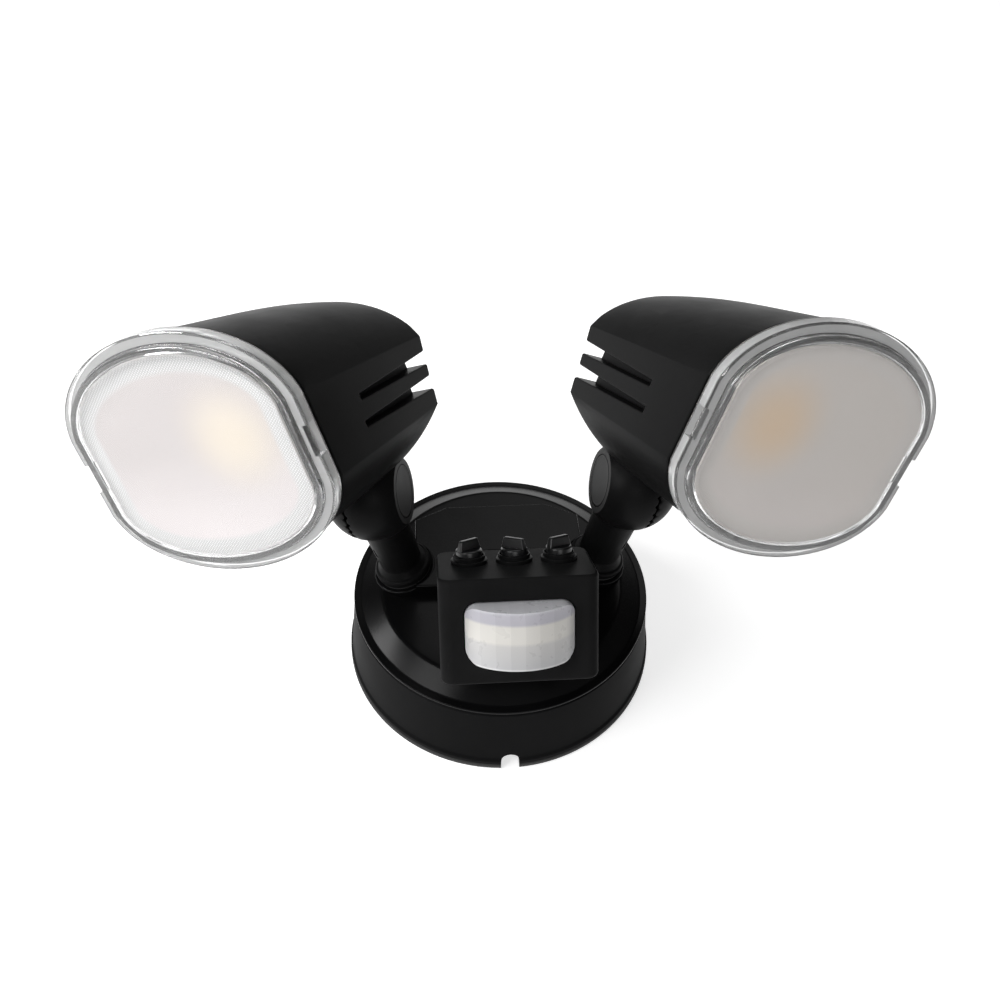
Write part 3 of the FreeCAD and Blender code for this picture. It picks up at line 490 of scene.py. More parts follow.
@dataclass(frozen=True)
class StudioPaper(Finish):
    """White paper of the studio's floor."""

    white: float = 0.82
    lift: float = 0.6

    def fill(self, graph: Graph) -> None:
        """Builds a matt paper, lifted to white for camera, transmission and glossy rays.

        Args:
            graph: Graph of the finish's material.
        """
        shade = graph.ramp(graph.noise(30.0), (0.3, grey(self.white - 0.01)), (0.7, grey(self.white)))
        matt = graph.add("BsdfDiffuse", {"Color": shade})
        lift = graph.add("Emission", {"Strength": self.lift})
        dark = graph.add("Emission", {"Strength": 0.0})
        path = graph.add("LightPath").outputs
        seen = path["Is Camera Ray"]
        for ray in ("Is Transmission Ray", "Is Glossy Ray"):
            seen = graph.add("Math", {0: seen, 1: path[ray]}, operation="MAXIMUM").outputs[0]
        glow = graph.add("MixShader", {"Fac": seen, 1: dark.outputs[0], 2: lift.outputs[0]})
        graph.surface(graph.add("AddShader", {0: matt.outputs[0], 1: glow.outputs[0]}))


SHELL_BLACK = MouldedPlastic(
    "satin black shell", "shell_black", (0.0055, 0.0055, 0.0056), (0.007, 0.007, 0.0072), 0.36, 0.44,
    shine=0.055,
)
BASE_BLACK = MouldedPlastic(
    "glossy black base", "base_black", (0.003, 0.003, 0.0032), (0.004, 0.004, 0.0042), 0.2, 0.27,
    grain_scale=1100.0, grain_depth=0.00001, shine=0.1,
)
SKIRT_BLACK = MouldedPlastic(
    "satin black skirt", "base_black", (0.0065, 0.0065, 0.0067), (0.0085, 0.0085, 0.0088), 0.42, 0.5,
    shine=0.015,
)
# Painted light: the box is the shell's black plastic, painted about twice as light so that its front reads
# as lit, and made less shiny.
LIT_BOX_BLACK = MouldedPlastic(
    "satin black box, painted lighter", "shell_black", (0.0115, 0.0115, 0.0117), (0.0145, 0.0145, 0.0148), 0.38, 0.46,
    shine=0.01,
)
KNOB_BLACK = MouldedPlastic(
    "black knob", "knob_black", (0.004, 0.004, 0.0045), (0.007, 0.007, 0.0075), 0.26, 0.34
)
RUBBER = MouldedPlastic("black rubber", "rubber", grey(0.012), grey(0.02), 0.62, 0.75, grain_scale=2200.0)
INNER_PLASTIC = MouldedPlastic(
    "dark inner plastic", "inner_plastic", (0.03, 0.03, 0.032), (0.05, 0.05, 0.052), 0.4, 0.5
)
TERMINAL_PLASTIC = MouldedPlastic(
    "cream terminal block", "terminal_plastic", (0.68, 0.64, 0.52), (0.76, 0.72, 0.6), 0.35, 0.45
)
TRIMMER_BLUE = MouldedPlastic(
    "blue trimmer", "trimmer_blue", (0.01, 0.06, 0.32), (0.02, 0.09, 0.4), 0.3, 0.4
)
REFLECTOR_WHITE = MouldedPlastic(
    "white reflector", "reflector_white", (0.8, 0.8, 0.78), (0.86, 0.86, 0.84), 0.3, 0.4
)
LED_PHOSPHOR = MouldedPlastic(
    "yellow phosphor", "led_phosphor", (0.8, 0.62, 0.12), (0.88, 0.7, 0.18), 0.4, 0.55
)
BOARD_GREEN = BoardLacquer("green circuit board", "board_green", (0.01, 0.12, 0.04), (0.03, 0.22, 0.08))
BOARD_WHITE = BoardLacquer("white lamp board", "board_white", (0.75, 0.75, 0.73), (0.66, 0.64, 0.6))
ALUMINIUM = PlainMetal("aluminium plate", "aluminium", (0.72, 0.73, 0.74), (0.84, 0.85, 0.86))
STEEL = PlainMetal("plain steel", "steel", (0.45, 0.45, 0.46), (0.6, 0.6, 0.61))
ZINC_STEEL = PlainMetal(
    "zinc plated steel", "zinc_steel", (0.56, 0.57, 0.6), (0.72, 0.73, 0.75), 0.3, 0.5
)
CAN_METAL = PlainMetal(
    "nickel detector can", "can_metal", (0.62, 0.6, 0.55), (0.76, 0.74, 0.69), 0.18, 0.3
)
BRASS = PlainMetal("brass screw", "brass", (0.62, 0.42, 0.14), (0.78, 0.56, 0.22))
COVER_FINISHES = {
    CoverZone.RIM: ClearPlastic(
        "clear cover rim", "clear_cover", (0.95, 0.955, 0.955), grey(0.98), 0.03, 0.08, 180.0, 0.00002,
        clearness=0.92,
    ),
    CoverZone.FLANGE: ClearPlastic(
        "clear cover flange", "clear_cover", (0.97, 0.975, 0.975), grey(0.98), 0.03, 0.08, 180.0, 0.00002,
        clearness=0.62,
    ),
    CoverZone.FACE: ClearPlastic(
        "clear cover face", "clear_cover", grey(0.9), grey(0.96), 0.06, 0.14, 90.0, 0.00003, opacity=0.12
    ),
}
# Painted highlights: the first and last band stop are bright lines along the lens's lower and upper edge,
# and the last colour is mixed in at glancing edges.
MOTION_MILK = MilkyPolymer(
    "milky motion lens", "pir_milky",
    (
        (0.0, grey(0.8)), (0.04, (0.54, 0.54, 0.55)), (0.42, (0.62, 0.61, 0.6)), (0.48, (0.76, 0.74, 0.7)),
        (0.75, (0.76, 0.74, 0.7)), (0.8, (0.52, 0.51, 0.56)), (0.95, (0.54, 0.53, 0.58)),
        (1.0, (0.68, 0.68, 0.72)),
    ),
    (0.85, 0.85, 0.87),
)
# The two diffusers are lit and shaded copies of one material: the left one is painted much lighter towards
# its bottom and in its prisms as painted light, and the right one stays darker as painted shade.
DIFFUSERS = {
    Side.LEFT: FrostedDiffuser(
        "frosted diffuser, painted lit, left", "diffuser_white",
        (0.63, 0.58, 0.575), (0.9, 0.84, 0.845), (0.83, 0.74, 0.62), grey(0.94), grey(0.5),
    ),
    Side.RIGHT: FrostedDiffuser(
        "frosted diffuser, painted shaded, right", "diffuser_white",
        (0.64, 0.59, 0.55), (0.68, 0.62, 0.6), (0.72, 0.53, 0.34), (0.66, 0.62, 0.59), (0.6, 0.56, 0.53),
    ),
}


# Mesh building


def merge(mesh: Mesh, reach: float, drop_thin: bool = False) -> None:
    """Joins the points of a mesh that lie together.

    Args:
        mesh: The mesh to change.
        reach: Largest distance between joined points.
        drop_thin: Whether edges and faces of no size go as well.
    """
    bmesh.ops.remove_doubles(mesh, verts=mesh.verts, dist=reach * MM)
    if drop_thin:
        bmesh.ops.dissolve_degenerate(mesh, dist=FINE_MERGE * MM, edges=mesh.edges)


def turn_outwards(mesh: Mesh) -> None:
    """Makes all faces point outwards."""
    bmesh.ops.recalc_face_normals(mesh, faces=mesh.faces)


def move(mesh: Mesh, place: Matrix) -> None:
    """Moves a whole mesh."""
    bmesh.ops.transform(mesh, matrix=place, verts=mesh.verts)


def bevel(
    mesh: Mesh, edges: list[bmesh.types.BMEdge], width: float, segments: int, clamp: bool = False
) -> None:
    """Rounds edges.

    Args:
        mesh: The mesh to change.
        edges: Its edges that are rounded.
        width: Width of the rounding.
        segments: Steps of the rounding.
        clamp: Whether the width shrinks where two roundings would meet.
    """
    bmesh.ops.bevel(
        mesh, geom=edges, offset=width * MM, offset_type="OFFSET", segments=segments, profile=0.5,
        affect="EDGES", clamp_overlap=clamp, material=-1,
    )


def cad_copy(node: str) -> Mesh:
    """Copies a CAD node's mesh and joins its loose triangles into whole faces.

    Args:
        node: Name of the CAD node.

    Returns:
        The merged copy, in the place of the node.
    """
    mesh = bmesh.new()
    mesh.from_mesh(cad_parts[node].data)
    merge(mesh, CAD_MERGE, drop_thin=True)
    bmesh.ops.dissolve_limit(mesh, angle_limit=math.radians(CAD_FLAT), verts=mesh.verts, edges=mesh.edges)
    turn_outwards(mesh)
    return mesh


def edges_where(
    mesh: Mesh, place: Matrix, chosen: Callable[[list[Vector]], bool]
) -> list[bmesh.types.BMEdge]:
    """Picks edges by where their ends lie.

    Args:
        mesh: The mesh.
        place: Matrix from the frame in which the ends are looked at to the light's.
        chosen: Says whether an edge with these two ends is picked.

    Returns:
        The picked edges.
    """
    upright = place.inverted()
    return [edge for edge in mesh.edges if chosen([(upright @ vert.co) / MM for vert in edge.verts])]


def round_edges(
    mesh: Mesh, radius: float, segments: int = 2, edges: list[bmesh.types.BMEdge] | None = None
) -> None:
    """Rounds the sharp edges.

    Args:
        mesh: The mesh to change.
        radius: Width of the rounding.
        segments: Steps of the rounding.
        edges: Edges to choose from, or None for all.
    """
    limit = math.radians(SHARP_EDGE)
    sharp = []
    for edge in mesh.edges if edges is None else edges:
        if len(edge.link_faces) == 2 and edge.calc_face_angle() > limit:
            sharp.append(edge)
    bevel(mesh, sharp, radius, segments)
    merge(mesh, MERGE)


def corner_fans(vert: bmesh.types.BMVert, sharp: float) -> list[list[bmesh.types.BMLoop]]:
    """Groups a vertex's corners by the faces they reach without crossing a sharp edge.

    Args:
        vert: The vertex.
        sharp: Smallest angle between two faces, in radians, that parts them.

    Returns:
        The groups of corners.
    """
    waiting = set(vert.link_loops)
    fans = []
    while waiting:
        open_ends = [waiting.pop()]
        fan = []
        while open_ends:
            corner = open_ends.pop()
            fan.append(corner)
            for edge in (corner.edge, corner.link_loop_prev.edge):
                if len(edge.link_faces) != 2 or edge.calc_face_angle(4.0) > sharp:
                    continue
                for other in list(waiting):
                    if other.face in edge.link_faces:
                        waiting.discard(other)
                        open_ends.append(other)
        fans.append(fan)
    return fans


def soften_normals(mesh: Mesh, data: bpy.types.Mesh, sharp: float) -> None:
    """Gives each corner the normal of its larger faces, so that flats stay flat beside rounded edges.

    Args:
        mesh: The mesh as it was built.
        data: The same mesh as stored data.
        sharp: Smallest angle between two faces that stays a crease.
    """
    places = {}
    for face in mesh.faces:
        for corner in face.loops:
            places[corner] = len(places)
    normals = [Vector((0.0, 0.0, 1.0))] * len(places)
    for vert in mesh.verts:
        for fan in corner_fans(vert, math.radians(sharp)):
            total = Vector()
            for corner in fan:
                total += corner.face.normal * corner.face.calc_area()
            if total.length > 0:
                total.normalize()
            for corner in fan:
                normals[places[corner]] = total
    data.polygons.foreach_set("use_smooth", [True] * len(data.polygons))
    data.normals_split_custom_set(normals)


def set_up(name: str, data: bpy.types.ID) -> bpy.types.Object:
    """Puts an object into the scene.

    Args:
        name: Name of the object.
        data: Its mesh, lamp or camera.

    Returns:
        The object.
    """
    thing = bpy.data.objects.new(name, data)
    bpy.context.scene.collection.objects.link(thing)
    return thing


def store_piece(
    mesh: Mesh, name: str, body: str, node: str, finishes: list[Finish], sharp: float = CREASE
) -> None:
    """Stores a built mesh as a piece of the light.

    Args:
        mesh: The built mesh, which is freed.
        name: Name of the piece.
        body: Moving body that carries it.
        node: CAD node that it is shown for.
        finishes: Its finishes, in the order of its material slots.
        sharp: Smallest angle between two faces that stays a crease.
    """
    turn_outwards(mesh)
    data = bpy.data.meshes.new(name)
    mesh.to_mesh(data)
    soften_normals(mesh, data, sharp)
    mesh.free()
    piece = set_up(name, data)
    for finish in finishes:
        data.materials.append(finish.material())
    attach(piece, body)
    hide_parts(node)
    LOG.info("%s: %d faces on %s", name, len(data.polygons), body)


def join_rows(
    mesh: Mesh, rows: list[list[Vector]], closed: bool = True
) -> list[list[bmesh.types.BMVert]]:
    """Joins rows of points with four-sided faces.

    Args:
        mesh: The mesh to add to.
        rows: Rows with the same number of points.
        closed: Whether each row runs back to its first point.

    Returns:
        The vertices, row by row.
    """
    placed = [[mesh.verts.new(point) for point in row] for row in rows]
    count = len(rows[0])
    for low, high in zip(placed, placed[1:]):
        for k in range(count if closed else count - 1):
            n = (k + 1) % count
            mesh.faces.new((low[k], low[n], high[n], high[k]))
    return placed


def raised(
    outline: list[Vector], axis: int, level: float
) -> tuple[Mesh, list[bmesh.types.BMVert]]:
    """Makes a block from a flat outline.

    Args:
        outline: The outline at the near end.
        axis: Number of the axis along which the block reaches.
        level: Place of its far end on that axis, in metres.

    Returns:
        The block and the vertices of its far end.
    """
    mesh = bmesh.new()
    foot = mesh.faces.new([mesh.verts.new(point) for point in outline])
    grown = bmesh.ops.extrude_face_region(mesh, geom=[foot])["geom"]
    ends = [item for item in grown if isinstance(item, bmesh.types.BMVert)]
    for vert in ends:
        vert.co[axis] = level
    return mesh, ends


def spun(profile: list[Point], steps: int) -> Mesh:
    """Turns a closed profile once round the Z axis.

    Args:
        profile: Radii and heights.
        steps: Number of steps round the axis.

    Returns:
        The turned mesh.
    """
    mesh = bmesh.new()
    points = [mesh.verts.new((r * MM, 0.0, z * MM)) for r, z in profile]
    edges = [mesh.edges.new(pair) for pair in zip(points, points[1:] + points[:1])]
    bmesh.ops.spin(
        mesh, geom=points + edges, cent=(0, 0, 0), axis=(0, 0, 1), dvec=(0, 0, 0), angle=math.tau,
        steps=steps, use_merge=True, use_duplicate=False,
    )
    merge(mesh, FINE_MERGE)
    turn_outwards(mesh)
    return mesh


def lay_flat(mesh: Mesh, origin: Point, size: Point) -> None:
    """Gives a mesh the flat map "sheet", which is its front view.

    Args:
        mesh: The mesh, with its front towards -Y.
        origin: Place across and up that is the map's corner.
        size: Width and height that the map's unit square covers.
    """
    sheet = mesh.loops.layers.uv.new("sheet")
    for face in mesh.faces:
        for corner in face.loops:
            spot = corner.vert.co / MM
            corner[sheet].uv = ((spot.x - origin[0]) / size[0], (spot.z - origin[1]) / size[1])


def arc_points(centre: Point, radius: float, start: float, end: float, steps: int) -> list[Point]:
    """Places points along an arc, both ends included.

    Args:
        centre: Middle of the arc.
        radius: Its radius.
        start: Angle of its first point.
        end: Angle of its last point.
        steps: Number of steps between them.

    Returns:
        The points.
    """
    angles = [math.radians(start + (end - start) * k / steps) for k in range(steps + 1)]
    return [(centre[0] + radius * math.cos(a), centre[1] + radius * math.sin(a)) for a in angles]


def eased(corners: list[Triple], steps: int = 4) -> list[Point]:
    """Rounds the corners of an open outline.

    Args:
        corners: Points with the length that each corner's curve takes from its two sides.
        steps: Steps of each curve.

    Returns:
        The outline with its curves.
    """
    line = [corners[0][:2]]
    for before, here, after in zip(corners, corners[1:], corners[2:]):
        spot = Vector(here[:2])
        if here[2] <= 0:
            line.append(here[:2])
            continue
        start = spot + (Vector(before[:2]) - spot).normalized() * here[2]
        end = spot + (Vector(after[:2]) - spot).normalized() * here[2]
        for k in range(steps + 1):
            t = k / steps
            point = start * (1 - t) ** 2 + spot * (2 * t * (1 - t)) + end * t**2
            line.append((point.x, point.y))
    return line + [corners[-1][:2]]


def add_mesh(target: Mesh, extra: Mesh, place: Matrix) -> None:
    """Adds one mesh to another.

    Args:
        target: Mesh that grows.
        extra: Mesh that is added and freed.
        place: Where the added mesh goes.
    """
    move(extra, place)
    data = bpy.data.meshes.new("extra")
    extra.to_mesh(data)
    extra.free()
    target.from_mesh(data)
    bpy.data.meshes.remove(data)


# Sub-assemblies


class Assembly:
    """A sub-assembly, which builds its own pieces and dresses the CAD nodes that stay as they are."""

    body: ClassVar[str] = ""
    inner: ClassVar[dict[str, Finish]] = {}

    def named(self, stem: str) -> str:
        """Returns the full name of one of the assembly's pieces, bodies or nodes."""
        return stem

    def build(self) -> None:
        """Builds the pieces. Each assembly has its own."""
        raise NotImplementedError

    def store(
        self, mesh: Mesh, name: str, node: str, finishes: list[Finish], sharp: float = CREASE
    ) -> None:
        """Stores a built mesh as a piece on the assembly's body, as store_piece says."""
        store_piece(mesh, self.named(name), self.named(self.body), self.named(node), finishes, sharp)

    def dress(self) -> None:
        """Gives the CAD nodes of the assembly their finishes."""
        for stem, finish in self.inner.items():
            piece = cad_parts[self.named(stem)]
            piece.data.materials.clear()
            piece.data.materials.append(finish.material())
            LOG.info("%s: %s", self.named(stem), finish.name)


@dataclass
class Base(Assembly):
    """Round base with its raised block, its gasket and what is inside it."""

    body: ClassVar[str] = "base"
    inner: ClassVar[dict[str, Finish]] = {
        "wall_gasket": RUBBER, "mounting_plate": ZINC_STEEL, "plate_screws": STEEL,
        "cable_grommet": RUBBER, "terminal_block": TERMINAL_PLASTIC, "terminal_screws": BRASS,
        "driver_board": BOARD_GREEN, "driver_standoffs": INNER_PLASTIC, "bracket_screws": STEEL,
    }
    back_radius: float = 57.5
    foot_inset: float = 0.2
    foot_chamfer: float = 0.4
    foot_top: float = 4.4
    side_inset: float = 0.3
    side_start: float = 5.4
    side_middle: float = 15.0
    rim_radius: float = 53.9
    rim_height: float = 31.1
    groove_depth: float = 0.55
    groove_drops: tuple[float, ...] = (2.2, 1.9, 1.1, 0.85)
    plateau_radius: float = 43.9
    plateau_height: float = PLATEAU_HEIGHT
    plateau_middle: float = 2.0
    gasket_height: float = 2.4
    wall: float = 2.2
    inner_gap: float = 1.0
    inner_taper: float = 0.1
    lip: float = 2.6
    notch_half: float = 3.25
    notch_height: float = 7.6
    column_step: float = 2.0
    boss_radius: float = 11.4
    boss_rise: float = 3.0
    boss_depth: float = 8.0
    boss_round: float = 0.6
    stub_radius: float = 6.45
    block_half: float = 31.0
    block_rear_half: float = 19.0
    block_front: float = -6.0
    block_shoulder: float = 26.0
    block_rear: float = 32.0
    block_height: float = 5.0
    block_sink: float = 0.5
    block_round: float = 0.6
    bite_radius: float = 10.6
    bite_shift: float = 0.8
    post_angles: tuple[float, ...] = (-90.0, 45.0, 135.0)
    post_circle: float = 38.0
    post_radius: float = 4.2
    post_bore: float = 1.6
    post_foot: float = 1.9
    post_draft: float = 0.5
    post_sink: float = 0.2
    skirt_depth: float = 0.7
    skirt_drop: float = 1.0
    crease: float = 50.0

    def outer_radius(self, z: float) -> float:
        """Returns the radius of the tapering side at a height."""
        taper = (self.back_radius - self.rim_radius) / self.rim_height
        return self.back_radius - self.side_inset - taper * z

    def outer_line(self) -> list[Point]:
        """Draws the outer half of the section.

        Returns:
            Radii and heights from the back edge to near the plateau's middle.
        """
        rim, top, back = self.rim_radius, self.rim_height, self.gasket_height
        foot = self.back_radius - self.foot_inset
        below, low, high, above = (top - drop for drop in self.groove_drops)
        corners = [(foot - self.foot_chamfer, back, 0.0), (foot, back, 0.3), (foot, self.foot_top, 0.5)]
        side = ((self.side_start, 0.4), (self.side_middle, 0.0), (below, 0.25))
        corners += [(self.outer_radius(z), z, curve) for z, curve in side]
        corners += [(rim - self.groove_depth, z, 0.15) for z in (low, high)]
        corners += [(rim, above, 0.15), (rim, top, 0.45), (rim - self.lip, top, 0.5)]
        inwards = ((self.plateau_radius, 0.9), (self.plateau_radius - 2.0, 0.0), (self.plateau_middle, 0.0))
        corners += [(r, self.plateau_height, curve) for r, curve in inwards]
        return eased(corners)

    def inner_line(self) -> list[Point]:
        """Draws the inner half of the section.

        Returns:
            Radii and heights from near the plateau's middle to the back edge.
        """
        under = self.plateau_height - self.wall
        ledge = self.rim_height - self.wall
        rim = self.rim_radius - self.wall - 0.5
        corners = [(self.plateau_middle, under, 0.0), (self.plateau_radius - self.wall, under, 0.8)]
        corners += [(rim - self.lip, ledge, 0.6), (rim, ledge, 0.6)]
        corners += [(self.back_radius - self.wall - self.inner_gap, self.gasket_height, 0.0)]
        return eased(corners)

    def notch_angles(self) -> list[float]:
        """Returns the angles of the columns across the notch, counted from -Y."""
        reach = math.degrees(math.asin(self.notch_half / self.back_radius))
        return [reach * math.sin(math.radians(15 * k)) for k in range(-6, 7)]

    def ceiling(self, angle: float) -> float:
        """Returns the height of the notch's arch at a column."""
        across = self.back_radius * math.sin(math.radians(angle))
        return self.notch_height - self.notch_half + math.sqrt(max(self.notch_half**2 - across**2, 0.0))

    def column(self, angle: float, in_notch: bool) -> list[Vector]:
        """Places the base's section at one angle.

        Args:
            angle: Angle from -Y.
            in_notch: Whether the column is lifted to the notch's arch.

        Returns:
            The points of the column.
        """
        turn = math.radians(angle - 90)
        lift = self.ceiling(angle)
        outer = self.outer_line()
        points = []
        for index, (r, z) in enumerate(outer + self.inner_line()):
            if in_notch and z < lift:
                z = lift
                r = self.outer_radius(z)
                if index >= len(outer):
                    r = self.back_radius - self.inner_gap - self.wall - self.inner_taper * z
            points.append(Vector((r * math.cos(turn), r * math.sin(turn), z)) * MM)
        return points

    def shell(self) -> Mesh:
        """Sweeps the section round, with closer columns across the drain notch.

        Returns:
            The round shell.
        """
        notch = self.notch_angles()
        columns = [self.column(notch[0], False)]
        columns += [self.column(angle, True) for angle in notch]
        columns.append(self.column(notch[-1], False))
        rest = 360 - 2 * notch[-1]
        count = round(rest / self.column_step)
        columns += [self.column(notch[-1] + rest * k / count, False) for k in range(1, count)]
        mesh = bmesh.new()
        join_rows(mesh, columns + columns[:1])
        merge(mesh, MERGE, drop_thin=True)
        return mesh

    def block_outline(self) -> list[Point]:
        """Draws the raised block's outline, with a round bite for each arm's foot.

        Returns:
            Places across and towards the rear.
        """
        middle = (ARM_FOOT[0] + self.bite_shift, ARM_FOOT[1])
        reach = math.sqrt(self.bite_radius**2 - (middle[0] - self.block_half) ** 2)
        start = math.degrees(math.asin(reach / self.bite_radius))
        right = [(self.block_half, self.block_front)]
        right += arc_points(middle, self.bite_radius, 180 + start, 180 - start, 14)
        right += [(self.block_half, self.block_shoulder), (self.block_rear_half, self.block_rear)]
        return right + [(-x, y) for x, y in reversed(right)]

    def block(self) -> Mesh:
        """Raises the block from its outline and rounds its top edge.

        Returns:
            The block.
        """
        low = (self.plateau_height - self.block_sink) * MM
        outline = [Vector((x * MM, y * MM, low)) for x, y in self.block_outline()]
        mesh, tops = raised(outline, 2, (self.plateau_height + self.block_height) * MM)
        bevel(mesh, [e for e in mesh.edges if all(v in tops for v in e.verts)], self.block_round, 3)
        return mesh

    def boss(self) -> Mesh:
        """Turns the collar that an arm swivels in.

        Returns:
            The collar, round its own swivel axis.
        """
        r, top, edge = self.boss_radius, self.boss_rise, self.boss_round
        profile = [(self.stub_radius, -self.boss_depth), (r, -self.boss_depth)]
        profile += arc_points((r - edge, top - edge), edge, 0, 90, 4)
        return spun(profile + [(self.stub_radius, top)], 64)

    def post(self) -> Mesh:
        """Turns a post for a screw of the mounting plate.

        Returns:
            The post, round its own axis.
        """
        foot, top = self.post_foot, self.plateau_height - self.wall + self.post_sink
        bore, side = self.post_bore, self.post_radius
        return spun([(bore, foot), (side, foot), (side + self.post_draft, top), (bore, top)], 24)

    def build(self) -> None:
        """Builds the shell, the raised block, the arm collars and the posts as one piece."""
        mesh = self.shell()
        add_mesh(mesh, self.block(), Matrix())
        for side in (-1, 1):
            foot = Vector((side * ARM_FOOT[0], ARM_FOOT[1], self.plateau_height)) * MM
            lean = Matrix.Rotation(math.radians(side * ARM_LEAN), 4, "Y")
            add_mesh(mesh, self.boss(), Matrix.Translation(foot) @ lean)
        for angle in self.post_angles:
            turn = math.radians(angle)
            spot = Vector((math.cos(turn), math.sin(turn), 0.0)) * self.post_circle * MM
            add_mesh(mesh, self.post(), Matrix.Translation(spot))
        for face in mesh.faces:
            middle = face.calc_center_median() / MM
            outside = math.hypot(middle.x, middle.y) > self.rim_radius - self.skirt_depth
            if outside and middle.z < self.rim_height - self.skirt_drop:
                face.material_index = 1
        self.store(mesh, "base_cover", "base_housing", [BASE_BLACK, SKIRT_BLACK], self.crease)


@dataclass
class HeadPlace:
    """Where a lamp head sits, as turns from its own upright frame."""

    side: Side
    tilt: float
    swivel: float
    roll: float = 9.3
    yaw: float = 10.5
    arm_length: float = 43.8

    def ball_matrix(self) -> Matrix:
        """Places the ball's own frame, which has its hinge along X.

        Returns:
            The matrix from it to the light's frame.
        """
        lean = math.radians(ARM_LEAN)
        axis = Vector((math.sin(lean), 0.0, math.cos(lean)))
        ball = (Vector((*ARM_FOOT, PLATEAU_HEIGHT)) + axis * self.arm_length) * MM
        place = Matrix.Translation(ball) @ Matrix.Rotation(math.radians(self.swivel), 4, axis)
        place = place @ Matrix.Rotation(lean, 4, "Y")
        if self.side is Side.LEFT:
            place = Matrix.Scale(-1.0, 4, Vector((1.0, 0.0, 0.0))) @ place
        return place

    def matrix(self) -> Matrix:
        """Places the head's own frame, which faces -Y from the ball's middle.

        Returns:
            The matrix from it to the light's frame.
        """
        place = self.ball_matrix() @ Matrix.Rotation(math.radians(-self.tilt), 4, "X")
        place = place @ Matrix.Rotation(math.radians(self.roll), 4, "Y")
        return place @ Matrix.Rotation(math.radians(self.yaw), 4, "Z")


@dataclass
class SideAssembly(Assembly):
    """A sub-assembly that the light has once on each side."""

    place: HeadPlace

    def named(self, stem: str) -> str:
        """Returns the name with the assembly's side."""
        return self.place.side.named(stem)


@dataclass
class Arm(SideAssembly):
    """One arm with the inner half of its ball joint, in the ball's own frame."""

    body: ClassVar[str] = "arm"
    inner: ClassVar[dict[str, Finish]] = {
        "foot_seal": RUBBER, "lock_nut": INNER_PLASTIC, "hinge_bolt": STEEL, "hinge_nut": STEEL,
    }
    edge_radius: float = 0.25
    cap_from_middle: float = 11.4
    cap_radius: float = 9.0
    cap_thickness: float = 1.2
    cap_round: float = 0.4
    cap_border: float = 0.9
    cap_slope: float = 0.2
    cap_sunk: float = 0.08

    def build_shell(self) -> None:
        """Builds the arm with rounded edges, apart from those round the cap's narrow seat."""
        mesh = cad_copy(self.named("arm"))
        seat = -self.cap_from_middle + self.cap_thickness + 0.1
        place = self.place.ball_matrix()
        edges = edges_where(mesh, place, lambda ends: any(end.x > seat for end in ends))
        round_edges(mesh, self.edge_radius, edges=edges)
        self.store(mesh, "arm_shell", "arm", [SHELL_BLACK])

    def build_cap(self) -> None:
        """Builds the flat cap over the hinge bolt, with a rounded edge and a slightly sunk middle."""
        r, top, edge = self.cap_radius, self.cap_thickness, self.cap_round
        border, sunk = r - self.cap_border, top - self.cap_sunk
        profile = [(0.0, 0.0), (r, 0.0)] + arc_points((r - edge, top - edge), edge, 0, 90, 4)
        profile += [(border, top), (border - self.cap_slope, sunk), (0.0, sunk)]
        mesh = spun(profile, 64)
        seat = Matrix.Translation(Vector((-self.cap_from_middle + top, 0.0, 0.0)) * MM)
        move(mesh, self.place.ball_matrix() @ seat @ Matrix.Rotation(math.radians(-90), 4, "Y"))
        self.store(mesh, "bolt_cap", "disc_cap", [SHELL_BLACK])

    def build(self) -> None:
        """Builds the arm and the cap over its hinge bolt."""
        self.build_shell()
        self.build_cap()


